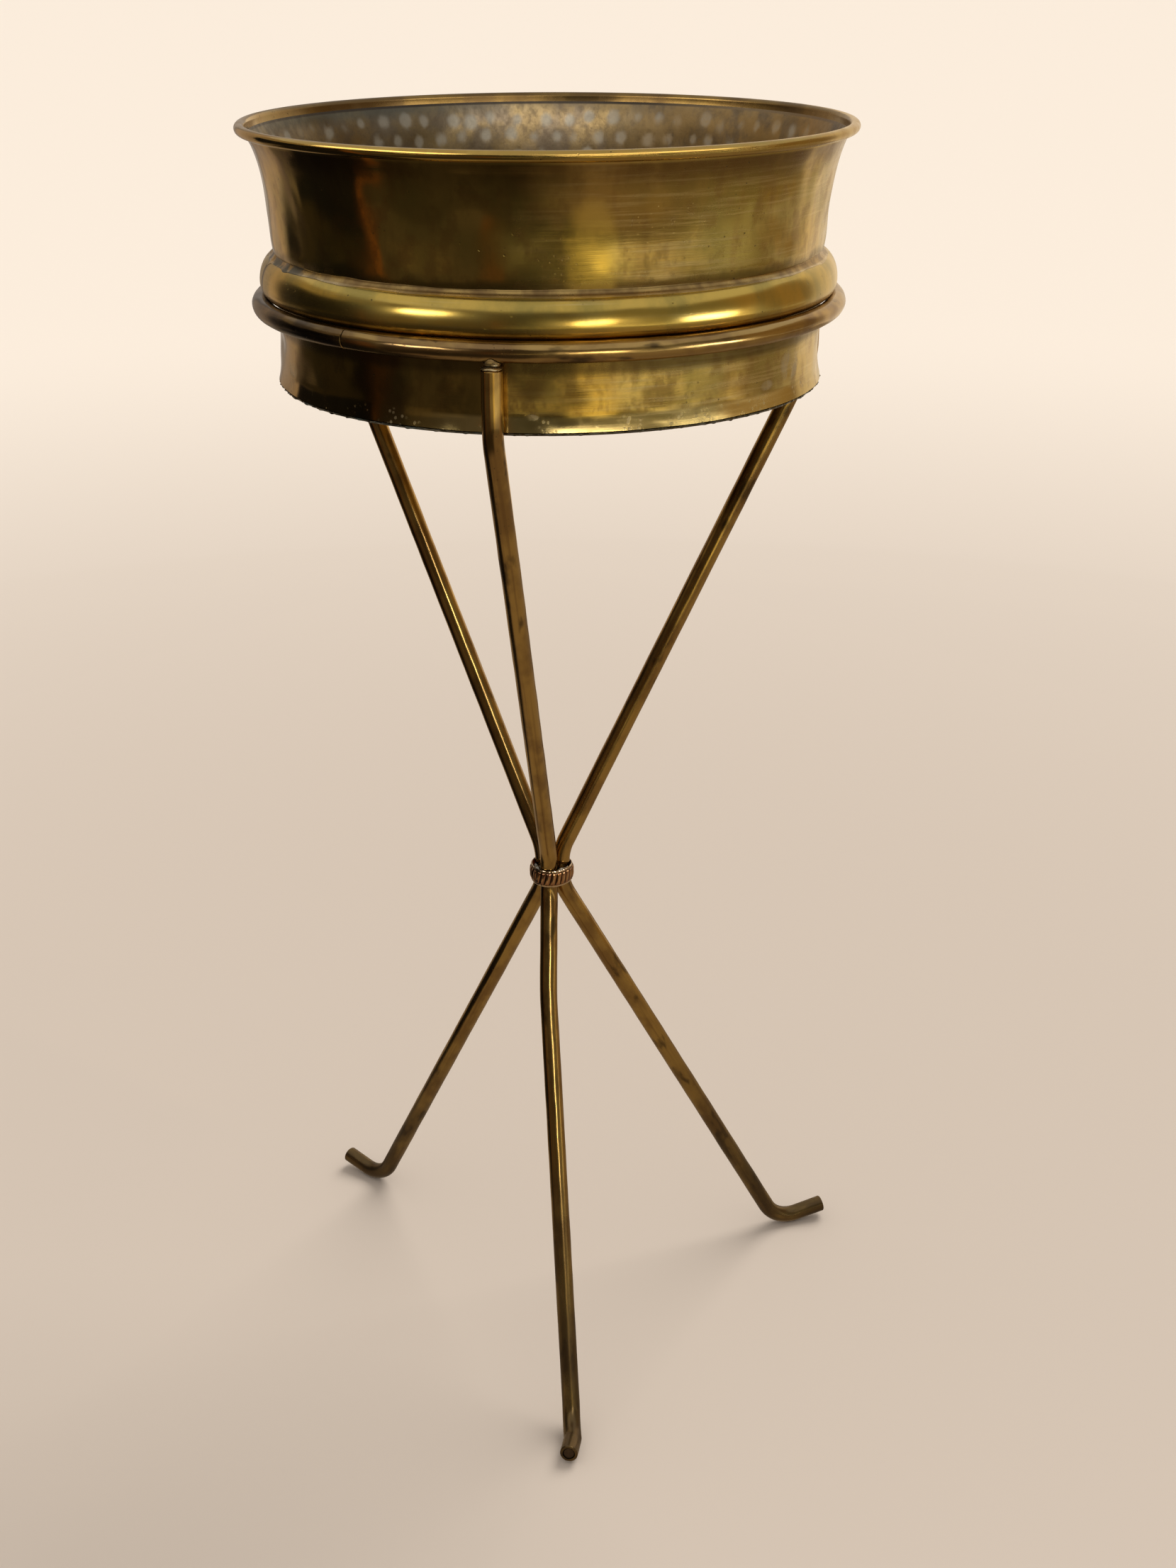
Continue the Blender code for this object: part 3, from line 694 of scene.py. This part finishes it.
def add_wall(material):
    foot = []
    for part in steps(0, 1, FOOT_STEPS)[:-1]:
        radius = WALL_RADIUS - SHEET / 2 + WALL_FOOT_FLARE * (1 - part) ** 2
        foot.append((radius, WALL_BOTTOM + (WALL_FOOT_TOP - WALL_BOTTOM) * part))
    middle = RIM_ROLL - SHEET / 2
    curl = []
    for turn in steps(CURL_START, CURL_END, CURL_STEPS):
        curl.append((RIM_RADIUS + middle * math.cos(turn), RIM_HEIGHT + middle * math.sin(turn)))
    section = sheet_section(np.vstack([foot, wall_line()[:-1], curl]), SHEET)
    azimuth, height = azimuths()[None, :], section[:, 1:]
    points = place(section[:, :1] + tub_shift(azimuth, height), azimuth, height)
    return show(grid_object("tub_shell", points, material), "tub", "tub_wall")


def hammer_marks(azimuth, height):
    """Strength of the hammer's marks on the liner: staggered rows, each mark a little astray."""
    rng = np.random.default_rng(12)
    total = np.zeros(np.broadcast(azimuth, height).shape)
    count = round(FULL_TURN * WALL_RADIUS / MARK_PITCH)
    lowest, highest = LINER_FLOOR + MARK_FLOOR_MARGIN, RIM_HEIGHT - MARK_RIM_MARGIN
    levels = np.arange(lowest, highest, MARK_ROW_PITCH)
    for row, level in enumerate(levels):
        near = np.abs(height[:, 0] - level) < 3 * MARK_HALF_HEIGHT
        for k in range(count):
            turn = (k + 0.5 * (row % 2)) * FULL_TURN / count
            turn += rng.normal(0, MARK_STRAY) / WALL_RADIUS
            rise = level + rng.normal(0, MARK_ROW_STRAY)
            strength, size = rng.uniform(0.35, 1.1), rng.uniform(0.8, 1.2)
            off = turn_between(azimuth, turn) * WALL_RADIUS / (MARK_HALF_WIDTH * size)
            up = (height[near] - rise) / (MARK_HALF_HEIGHT * size)
            total[near] += strength * np.exp(-((off**2 + up**2) ** 1.2))
    return total


def add_liner(material):
    side = wall_line(inset=SHEET / 2 + GAP + LINER_SHEET / 2)
    corner_radius = side[0][0] - LINER_CORNER
    floor = [(radius, LINER_FLOOR) for radius in steps(0, corner_radius, FLOOR_STEPS)[:-1]]
    corner = []
    for turn in steps(-math.pi / 2, 0, CORNER_STEPS):
        radius = corner_radius + LINER_CORNER * math.cos(turn)
        corner.append((radius, LINER_FLOOR + LINER_CORNER * (1 + math.sin(turn))))
    line = np.vstack([floor, corner, side[side[:, 1] > LINER_FLOOR + LINER_CORNER + GAP]])
    spots = steps(0, len(line) - 1, 2 * (len(line) - 1))
    line = np.stack([np.interp(spots, range(len(line)), part) for part in line.T], axis=-1)
    section = sheet_section(line, LINER_SHEET)
    section[0, 0] = section[-1, 0] = 0
    radius, height = section[:, :1], section[:, 1:]
    azimuth = azimuths(LINER_COLUMNS)[None, :]
    marks = hammer_marks(azimuth, height) * (radius > corner_radius)
    shift = tub_shift(azimuth, height) + MARK_DEPTH * marks
    shift = np.where(radius > corner_radius + LINER_CORNER / 2, shift, 0)
    points = place(radius + shift, azimuth, height)
    liner = grid_object("hammered_lining", points, material, values={"mark": np.clip(marks, 0, 1)})
    return show(liner, "tub", "liner")


def add_bottom(brass, tin):
    top = WALL_BOTTOM - GAP
    bottom = top - BASE_THICKNESS
    rings = steps(0, BASE_RADIUS - BASE_EDGE, 12)
    low = [(radius, bottom) for radius in rings]
    edge = [(BASE_RADIUS, bottom + BASE_EDGE), (BASE_RADIUS, top)]
    high = [(radius, top) for radius in rings[-2::-1]]
    section = np.array(low + edge + high)
    points = place(section[:, :1], azimuths()[None, :], section[:, 1:])
    disc = grid_object("tub_bottom", points, brass)
    show(disc, "tub", "base_disc")

    azimuth = azimuths(SEAM_COLUMNS)[None, :]
    ragged = 1 + 0.22 * waves(21, azimuth, 0, 220, 1) + 0.25 * waves(22, azimuth, 0, 60, 1)
    width = BASE_SOLDER_WIDTH * np.clip(0.75 * ragged, 0.25, 1.5)
    drop = BASE_THICKNESS * np.clip(0.6 + 0.15 * waves(23, azimuth, 0, 200, 1), 0.2, 1.1)
    radius = BASE_RADIUS + GAP + width * np.array((0, 0.8, 1, 0.75, 0))[:, None]
    height = top - BASE_SOLDER_GAP - drop * np.array((0, 0, 0.4, 1))[:, None]
    height = np.vstack([height, np.full_like(drop, bottom)])
    seam = grid_object("bottom_solder_line", place(radius, azimuth, height), tin)
    show(seam, "tub", "base_solder")


def bead_top(out):
    """Height of the bead's upper surface this far out from its inner edge."""
    rise = (BEAD_HALF_HEIGHT + BEAD_SAG) * np.sqrt(1 - (out / BEAD_DEPTH) ** 2)
    return BEAD_HEIGHT - BEAD_SAG + rise


def add_bead(brass, braze):
    edge = WALL_RADIUS + GAP
    section = []
    for shrink, ends in ((0, (90, -90)), (BEAD_SHEET, (-90, 90))):
        for turn in steps(math.radians(ends[0]), math.radians(ends[1]), BEAD_STEPS):
            radius = edge + (BEAD_DEPTH - shrink) * math.cos(turn)
            reach = BEAD_HALF_HEIGHT - shrink + math.copysign(BEAD_SAG, turn)
            section.append((radius, BEAD_HEIGHT - BEAD_SAG + reach * math.sin(turn)))
    section = np.array(section)
    azimuth = open_turn(BEAD_JOINT_AZIMUTH, WALL_RADIUS)[None, :]
    radius, height = section[:, :1], section[:, 1:]
    wave = BEAD_WAVE * waves(31, azimuth, height, 30, 30)
    radius = radius + (radius - edge) / BEAD_DEPTH * wave
    points = place(radius, azimuth, height)
    bead = grid_object("half_round_bead", points, brass, round_columns=False)
    show(bead, "tub", "bead")
    add_bead_braze(edge, braze)
    return bead


def add_bead_braze(edge, material):
    """The braze's hollow upper side, a thin lip, and its lower side on the bead."""
    azimuth = azimuths(SEAM_COLUMNS)[None, :]
    size = 1 + 0.015 * waves(32, azimuth, 0, 90, 1) + 0.06 * waves(33, azimuth, 0, 26, 1)
    for turn, growth, wide in BRAZE_BLOBS:
        off = turn_between(azimuth, math.radians(turn)) / wide
        size = size + growth * np.exp(-(off**2))
    size = BEAD_BRAZE * size
    turn = steps(0, math.pi / 2, 9)[:, None]
    top_side = size * (1 - np.cos(turn))
    low_side = size * steps(1, 0, 5)[:, None]
    top = bead_top(top_side) + size * (1 - np.sin(turn)) + BRAZE_EDGE
    radius = edge + np.vstack([top_side, low_side, np.zeros_like(size)])
    radius[[0, -1]] -= SHEET / 2
    height = np.vstack([top, bead_top(low_side), top[:1]])
    seam = grid_object("bead_braze_line", place(radius, azimuth, height), material)
    show(seam, "tub", "bead_solder")


# Stand


def add_ring(material):
    path = place(RING_RADIUS, open_turn(RING_JOINT_AZIMUTH, RING_RADIUS), RING_HEIGHT)
    side = np.array((0, 0, 1.0))
    ring = pipe("ring_tube", path, side, RING_TUBE, RING_BORE, material, RING_EASE, TUBE_WOBBLE)
    return show(ring, "stand", "support_ring")


def bent_path(corners, radii):
    """Points along straight runs between corners, with a round bend at each inner corner."""
    path = [corners[0]]
    for before, corner, after, radius in zip(corners, corners[1:], corners[2:], radii):
        back = (before - corner).normalized()
        ahead = (after - corner).normalized()
        turn = math.pi - back.angle(ahead)
        centre = corner + (back + ahead).normalized() * radius / math.cos(turn / 2)
        start = corner + back * radius * math.tan(turn / 2) - centre
        end = corner + ahead * radius * math.tan(turn / 2) - centre
        for part in steps(0, 1, BEND_STEPS):
            mix = start * math.sin((1 - part) * turn) + end * math.sin(part * turn)
            path.append(centre + mix / math.sin(turn))
    return path + [corners[-1]]


def foot_path(waist, stand_azimuth, stand_radius, toe_azimuth, toe_rise, toe_length):
    """The foot's bend, tangent to the leg's straight run from the waist, and then the toe."""
    outward = polar(1, stand_azimuth, 0) - AXIS
    up = Vector((0, 0, 1))
    centre = AXIS + outward * stand_radius + up * (LEG_TUBE + FOOT_BEND)
    reach = (waist - centre).dot(outward)
    rise = (waist - centre).dot(up)
    tangent = math.atan2(rise, reach) + math.acos(FOOT_BEND / math.hypot(reach, rise)) - FULL_TURN
    lowest = -math.pi / 2
    path = []
    for turn in steps(tangent, lowest, BEND_STEPS):
        path.append(centre + FOOT_BEND * (outward * math.cos(turn) + up * math.sin(turn)))
    toe = polar(1, toe_azimuth, 0) - AXIS
    rest = centre - up * FOOT_BEND
    for turn in steps(lowest, lowest + toe_rise, 4)[1:]:
        path.append(rest + FOOT_BEND * (toe * math.cos(turn) + up * (1 + math.sin(turn))))
    path.append(path[-1] + toe_length * (toe * math.cos(toe_rise) + up * math.sin(toe_rise)))
    return path


def leg_path(name, place_angle):
    """The middle of a leg's tube, from its top under the ring to the end of its toe."""
    top_azimuth, stand_azimuth, stand_radius, toe_azimuth, toe_rise, toe_length = LEGS[name]
    top = polar(RING_RADIUS, top_azimuth, LEG_TOP)
    shoulder = polar(RING_RADIUS, top_azimuth, SHOULDER_HEIGHT)
    waist = Vector((COLLAR_CENTRE_X, 0, 0)) + polar(WAIST_RADIUS, COLLAR_TURN + place_angle, 0)
    above = waist + Vector((0, 0, COLLAR_HEIGHT + WAIST_ABOVE))
    below = waist + Vector((0, 0, COLLAR_HEIGHT - WAIST_BELOW))
    foot = foot_path(below, stand_azimuth, stand_radius, toe_azimuth, toe_rise, toe_length)
    corners = [top, shoulder, above, below, foot[0]]
    bends = [SHOULDER_BEND, WAIST_BEND, WAIST_BEND]
    if name in KINKS:
        part, offset = KINKS[name]
        sideways = polar(1, stand_azimuth + math.pi / 2, 0) - AXIS
        corners.insert(-1, below.lerp(foot[0], part) + sideways * offset)
        bends.append(KINK_BEND)
    return bent_path(corners, bends) + foot[1:]


def divided(path):
    """The path with points added so that none of its runs is longer than RUN_STEP."""
    points = [path[0]]
    for start, end in zip(path, path[1:]):
        count = max(1, math.ceil((end - start).length / RUN_STEP))
        points += [start.lerp(end, part) for part in steps(0, 1, count)[1:]]
    return points


def add_leg(name, place_angle, rod, toe, cap):
    """A leg's tube, the filler in its toe, the cap on its top and the braze to the ring."""
    top_azimuth, stand_azimuth = LEGS[name][:2]
    path = leg_path(name, place_angle)
    side = np.array(polar(1, stand_azimuth + math.pi / 2, 0) - AXIS)
    along = divided(path)
    tube = pipe(f"{name}_tube", along, side, LEG_TUBE, LEG_BORE, rod, LEG_EASE, TUBE_WOBBLE)
    show(tube, "stand", f"{name}_leg")

    toe_along = (path[-1] - path[-2]).normalized()
    end = path[-1] - toe_along * FOOT_PLUG_RECESS
    ends = [end - toe_along * part for part in steps(FOOT_PLUG_LENGTH, 0, 4)]
    filler = pipe(f"{name}_toe_filler", ends, side, FOOT_PLUG, 0, toe, LEG_EASE)
    show(filler, "stand", f"{name}_foot_plug")

    middle = polar(RING_RADIUS, top_azimuth, 0)
    seat = LEG_TOP + GAP
    dome = []
    for turn in steps(0, PLUG_DOME_END, 8):
        dome.append((LEG_TUBE * math.cos(turn) ** 0.8, seat + PLUG_DOME * math.sin(turn)))
    low = seat - PLUG_SHANK_LENGTH
    shank = [(PIN_HOLE, low), (PLUG_SHANK, low), (PLUG_SHANK, seat)]
    section = np.array(shank + dome + [(PIN_HOLE, seat + PLUG_DOME)])
    radius, height = section[:, :1], section[:, 1:]
    azimuth = azimuths(TUBE_SIDES)[None, :]
    lumps = 1 + 0.018 * waves(41 + len(name), azimuth, height, 6, 500)
    points = place(radius * lumps, azimuth, height, middle)
    plug = grid_object(f"{name}_leg_cap", points, cap)
    show(plug, "stand", f"{name}_leg_plug")
    add_braze(name, top_azimuth, middle, seat + PLUG_DOME + GAP, cap)
    return tube


def add_braze(name, top_azimuth, middle, foot, material):
    """Braze from a leg's cap up to the curve of the ring, lumpy and a little to one side."""
    azimuth = azimuths(TUBE_SIDES)[None, :]
    part, width = (np.array(column)[:, None] for column in zip(*BRAZE_PROFILE))
    lumps = 1 + 0.10 * waves(51 + len(name), azimuth, part / 50, 5, 40)
    lumps = lumps + 0.16 * np.cos(azimuth - 1.2)
    radius = width * BRAZE_RADIUS * lumps
    across = radius * np.cos(azimuth - top_azimuth)
    clear = RING_TUBE + GAP
    ceiling = RING_HEIGHT - np.sqrt(np.clip(clear**2 - across**2, 0, None))
    height = foot + (ceiling - foot) * part
    braze = grid_object(f"{name}_braze", place(radius, azimuth, height, middle), material)
    show(braze, "stand", f"{name}_ring_braze")


# Collar


def add_collar(material):
    """The reeded strip: its section follows the legs' rounded triangle and bulges with reeds."""
    azimuth = azimuths(COLLAR_REEDS * 24)[None, :]
    lip_levels = steps(1, COLLAR_LIP, 4)
    reed_levels = steps(COLLAR_LIP, -COLLAR_LIP, 28)[1:-1]
    level = np.concatenate([lip_levels, reed_levels, -lip_levels[::-1]])[:, None]
    bulge = np.sqrt(np.clip(1 - (level / COLLAR_LIP) ** 2, 0, None)) ** 0.7
    reed = np.abs(np.sin((azimuth - COLLAR_SLANT * level) * COLLAR_REEDS / 2)) ** 0.75
    inner = COLLAR_INNER + COLLAR_TRIANGLE * np.cos(3 * (azimuth - COLLAR_TURN))
    lip = COLLAR_EDGE * (1 - 0.35 * np.clip((np.abs(level) - 0.9) / 0.1, 0, 1) ** 2)
    rough = 0.00004 * waves(61, azimuth, level / 100, 40, 60)
    outer = inner + lip + bulge * (COLLAR_BULGE - COLLAR_REED * (1 - reed)) + rough
    radius = np.vstack([outer, inner, inner])
    height = np.vstack([level, [[-1.0]], [[1.0]]]) * COLLAR_HALF_HEIGHT + COLLAR_HEIGHT
    edges = np.clip((np.abs(level) - COLLAR_LIP) / 0.08, 0, 1)
    raised = np.where(edges > 0, np.clip(0.5 + edges, 0, 1), np.clip(bulge * reed**1.5, 0, 1))
    bore = np.full_like(inner, 0.6)
    raised = np.vstack([raised, bore, bore])
    centre = AXIS + Vector((COLLAR_CENTRE_X, 0, 0))
    points = place(radius, azimuth, height, centre)
    collar = grid_object("reeded_collar", points, material, values={"raised": raised})
    return show(collar, "stand", "collar")


def arc_about(centre, first, last, count):
    """Points from first to last on the short arc about centre."""
    start = first - centre
    turn = (last - centre).angle_signed(start)
    arc = []
    for angle in steps(0, turn, count):
        c, s = math.cos(angle), math.sin(angle)
        arc.append(centre + Vector((start.x * c - start.y * s, start.x * s + start.y * c)))
    return arc


def flat_polar(radius, azimuth):
    return Vector((radius * math.sin(azimuth), -radius * math.cos(azimuth)))


def add_pool(side, middle, material):
    """Solder between two neighbouring legs and the collar, with an uneven, domed top."""
    clear = LEG_TUBE + 2 * GAP
    spacing = WAIST_RADIUS * math.sin(math.pi / 3)
    cusp_radius = WAIST_RADIUS * math.cos(math.pi / 3) + math.sqrt(clear**2 - spacing**2) + GAP
    cusp = flat_polar(cusp_radius, middle)
    corners = [flat_polar(SOLDER_RADIUS, middle + way * SOLDER_SPREAD) for way in (-1, 1)]
    legs = [flat_polar(WAIST_RADIUS, middle + way * math.pi / 3) for way in (-1, 1)]
    outline = arc_about(Vector((0, 0)), corners[0], corners[1], 12)
    outline += arc_about(legs[1], corners[1], cusp, 10)[1:]
    outline += arc_about(legs[0], cusp, corners[0], 10)[1:-1]
    outline = np.array([tuple(point) for point in outline])
    centre = outline.mean(axis=0)
    shrink, rise = (np.array(column)[:, None] for column in zip(*POOL_PROFILE))
    turn = np.arctan2(*(outline - centre).T)[None, :]
    height = SOLDER_BOTTOM + (SOLDER_TOP - SOLDER_BOTTOM) * rise
    height = height + 0.00012 * waves(71, turn, shrink / 50, 5, 90) * (rise > 0.9) * (shrink > 0)
    flat = centre + (outline - centre) * shrink[..., None] + (AXIS.x + COLLAR_CENTRE_X, AXIS.y)
    points = np.concatenate([flat, (height + AXIS.z)[..., None]], axis=-1)
    pool = grid_object(f"solder_pool_{side}", points, material)
    show(pool, "stand", f"collar_solder_{side}")


# Studio

CAMERA_OFFSET = Vector((0.0286, -1.0215, 0.7877))
CAMERA_TILT = math.radians(66.16)
CAMERA_TURN = 0.00924
CAMERA_ROLL = -0.00222
CAMERA_LENS = 45.06
FLOOR_RADIUS = 60
ROOM = (0.42, 0.36, 0.31)
NEAR_FLOOR = (0.31, 0.235, 0.155)
DARK_FLOOR = (0.050, 0.039, 0.028)
BLACK_FLOOR = (0.014, 0.012, 0.012)
STREAK_FLOOR = (0.15, 0.060, 0.020)
CARD_EDGE = 0.03
DRUM_RADIUS = 1.6
DRUM_HEIGHT = 1.5
DRUM_LIFT = 0.002
SOFTBOX_DISTANCE = 1.5
WARM = (1.0, 0.90, 0.72)
PALE = (1.0, 0.95, 0.86)
# Cards on the drum that the metal mirrors: azimuth, half width and softness in degrees, lowest and
# highest point, and shade. A later card covers an earlier one.
CARDS = (
    (0, 152, 6, -1, 3, (0.080, 0.062, 0.044)),
    (-137, 13, 1.5, -1, 3, (0.46, 0.34, 0.24)),
    (-98, 26, 1.5, -1, 3, (0.012, 0.011, 0.012)),
    (-121, 9, 2.0, -1, 0.34, (0.17, 0.13, 0.095)),
    (-100, 30, 6, 1.05, 3, (0.32, 0.25, 0.16)),
    (-98, 26, 2.0, 0.22, 0.34, (0.034, 0.026, 0.017)),
    (-70, 2.4, 1.0, -1, 0.80, (0.19, 0.074, 0.024)),
    (-47, 13, 5, 0.30, 0.60, (0.13, 0.096, 0.060)),
    (-19, 4.0, 2.0, -1, 0.80, (0.12, 0.060, 0.028)),
    (0, 14, 6, -1, 3, (0.062, 0.053, 0.036)),
    (50, 36, 6, -1, 3, (0.19, 0.165, 0.110)),
    (97, 22, 6, -1, 3, (0.31, 0.205, 0.092)),
    (152, 30, 6, -1, 3, (0.92, 0.76, 0.56)),
    (-2, 13, 6, 0.25, 0.31, (0.85, 0.72, 0.44)),
    (50, 35, 6, 0.23, 0.32, (1.60, 1.48, 1.20)),
    (105, 20, 6, 0.22, 0.32, (0.52, 0.47, 0.40)),
    (19, 7, 1.4, 0.25, 0.50, (1.42, 1.16, 0.47)),
)
# Soft lights: azimuth and elevation in degrees, width, height, glow, colour and what they light.
SOFTBOXES = {
    "left_window": (-46, 14, 0.46, 0.20, 10.0, PALE, "hoops"),
    "middle_window": (18, -1, 0.42, 0.22, 9.5, WARM, "hoops"),
    "right_window": (63, -5.5, 0.50, 0.22, 11.0, PALE, "hoops"),
    "left_foot_strip": (-44, 14, 0.36, 0.08, 1.8, WARM, "wall"),
    "middle_foot_strip": (20, 13.5, 0.80, 0.09, 6.0, WARM, "wall"),
    "right_foot_strip": (62, 6, 0.90, 0.06, 3.0, WARM, "wall"),
    "left_rim_light": (-62, 34, 1.50, 0.50, 3.0, WARM, "wall"),
    "right_rim_light": (38, 34, 1.70, 0.50, 2.4, WARM, "wall"),
    "lining_light": (8, 38, 1.60, 0.50, 2.6, PALE, "lining"),
    "leg_strip": (23, 18, 0.14, 0.90, 9.0, PALE, "legs"),
}


def add_stage(name, bm, material):
    mesh = bpy.data.meshes.new(name)
    bm.to_mesh(mesh)
    bm.free()
    mesh.materials.append(material)
    obj = new_object(name, mesh)
    return obj


def add_floor():
    g = Finish("pale_floor")
    g.shader.inputs["Specular IOR Level"].default_value = 0.2
    color = g.mix(g.remap(g.away(), 0.5, 3.2), (0.62, 0.54, 0.47), (0.90, 0.82, 0.735))
    g.tree.links.new(color, g.shader.inputs["Base Color"])
    g.shader.inputs["Metallic"].default_value = 0.0
    g.shader.inputs["Roughness"].default_value = 0.85
    bm = bmesh.new()
    bmesh.ops.create_circle(bm, cap_ends=True, radius=FLOOR_RADIUS, segments=64)
    add_stage("pale_floor", bm, g.material)


def add_reflectors():
    """A dim drum round the stand that only reflections see: what the polished metal mirrors."""
    g = Finish("reflectors")
    color = ROOM
    for turn, half, soft, low, high, shade in CARDS:
        card = g.sector(turn - half, turn + half, soft)
        color = g.mix(g.times(card, g.band(g.height, low, high, CARD_EDGE)), color, shade)
    away = g.away()
    floor = g.mix(g.times(g.sector(-128, 4, 12), g.remap(away, 0.42, 0.70)), NEAR_FLOOR, DARK_FLOOR)
    black = g.times(g.sector(-124, -72, 1.5), g.remap(away, 0.24, 0.34))
    floor = g.mix(black, floor, BLACK_FLOOR)
    streak = g.times(g.sector(-72, -68.5, 0.8), g.remap(away, 0.85, 1.00))
    floor = g.mix(streak, floor, STREAK_FLOOR)
    color = g.mix(g.remap(g.height, 0.03, 0.01), color, floor)
    light = g.node("Emission", {}, {0: color, 1: 1.0})
    g.tree.links.new(light.outputs[0], g.tree.nodes["Material Output"].inputs[0])

    bm = bmesh.new()
    size = {"radius1": DRUM_RADIUS, "radius2": DRUM_RADIUS, "depth": DRUM_HEIGHT}
    bmesh.ops.create_cone(bm, segments=128, cap_ends=True, **size)
    top = [face for face in bm.faces if face.calc_center_median().z > DRUM_HEIGHT / 4]
    bmesh.ops.delete(bm, geom=top, context="FACES")
    lift = Vector((0, 0, DRUM_HEIGHT / 2 + DRUM_LIFT))
    bmesh.ops.translate(bm, verts=bm.verts, vec=AXIS + lift)
    drum = add_stage("reflectors", bm, g.material)
    drum.visible_camera = False
    drum.visible_diffuse = False
    drum.visible_shadow = False
    drum.visible_transmission = False


def add_softbox(name, azimuth, elevation, wide, tall, glow, color, lit):
    """A soft light that faces the tub and lights only the pieces in lit."""
    data = bpy.data.lights.new(name, "AREA")
    data.shape = "RECTANGLE"
    data.size = wide
    data.size_y = tall
    data.energy = glow * math.pi * wide * tall
    data.color = color
    light = new_object(name, data)
    target = AXIS + Vector((0, 0, BEAD_HEIGHT))
    level = math.radians(elevation)
    offset = polar(math.cos(level), math.radians(azimuth), math.sin(level)) - AXIS
    light.location = target + offset * SOFTBOX_DISTANCE
    light.rotation_euler = offset.to_track_quat("Z", "Y").to_euler()
    light.visible_camera = False
    group = bpy.data.collections.new(name)
    for piece in lit:
        group.objects.link(piece)
    light.light_linking.receiver_collection = group


def add_sky():
    """Broad soft light from above and all round, for the matt surfaces."""
    sun = bpy.data.lights.new("sky_fill", "SUN")
    sun.energy = 1.9
    sun.angle = math.radians(40)
    sun.color = (1.0, 0.96, 0.90)
    fill = new_object("sky_fill", sun)
    fill.rotation_euler = (math.radians(-32), math.radians(28), 0)
    fill.visible_glossy = False
    world = bpy.data.worlds.new("studio")
    world.use_nodes = True
    background = world.node_tree.nodes["Background"]
    background.inputs[0].default_value = (1.0, 0.95, 0.89, 1)
    background.inputs[1].default_value = 0.65
    bpy.context.scene.world = world


def add_camera():
    """At eye height in front of the stand, a little to its right, looking down at it."""
    data = bpy.data.cameras.new("camera")
    data.sensor_width = 36
    data.lens = CAMERA_LENS
    camera = new_object("camera", data)
    stand = Matrix.Translation(AXIS + CAMERA_OFFSET)
    turn = Matrix.Rotation(CAMERA_TURN, 4, "Z")
    tilt = Matrix.Rotation(CAMERA_TILT, 4, "X")
    roll = Matrix.Rotation(CAMERA_ROLL, 4, "Z")
    camera.matrix_world = stand @ turn @ tilt @ roll
    bpy.context.scene.camera = camera


def add_hidden_finishes(rod, tin):
    """The pins, the dowel and the wire stay as the CAD has them, with a finish."""
    for name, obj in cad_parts.items():
        if name.endswith("_pin") or name in ("ring_joint_dowel", "rim_wire"):
            finish = tin if name == "rim_wire" else rod
            obj.data.materials.clear()
            obj.data.materials.append(finish)


def main():
    bpy.context.scene.view_settings.view_transform = "Standard"
    add_camera()
    add_floor()
    add_reflectors()
    brass = tub_brass()
    foot_tin = solder("foot_solder", (0.17, 0.145, 0.10), 0.20)
    wall = add_wall(brass)
    lining = add_liner(tinned())
    add_bottom(brass, foot_tin)
    bead = add_bead(bead_brass(), braze_brass())

    ring_colors = ((0.46, 0.31, 0.115), (0.27, 0.17, 0.075), BROWN)
    ring = add_ring(tube_brass("ring_brass", ring_colors, 0.8, 0.17, 0.26, 0.95))
    rod_colors = ((0.52, 0.335, 0.105), (0.33, 0.20, 0.070), (0.20, 0.11, 0.045))
    rod = tube_brass("leg_brass", rod_colors, 0.7, 0.14, 0.24)
    toe_colors = ((0.20, 0.13, 0.07), (0.16, 0.10, 0.06), UMBER)
    toe = tube_brass("toe_brass", toe_colors, 0.6, 0.35, 0.5)
    pool = solder("pool_solder", (0.66, 0.64, 0.58), 0.2)
    cap = solder("leg_cap_brass", (0.80, 0.64, 0.36), 0.0)
    legs = {}
    for i, name in enumerate(LEGS):
        legs[name] = add_leg(name, i * FULL_TURN / 3, rod, toe, cap)
    collar = add_collar(collar_brass())
    lit = {"wall": [wall], "lining": [lining], "hoops": [bead, ring, collar]}
    lit["legs"] = [legs["front"], legs["left"], collar]
    for name, (*setup, pieces) in SOFTBOXES.items():
        add_softbox(name, *setup, lit[pieces])
    add_sky()
    for i, side in enumerate(("front_right", "back", "front_left")):
        add_pool(side, COLLAR_TURN + (i + 0.5) * FULL_TURN / 3, pool)
    add_hidden_finishes(rod, foot_tin)


main()
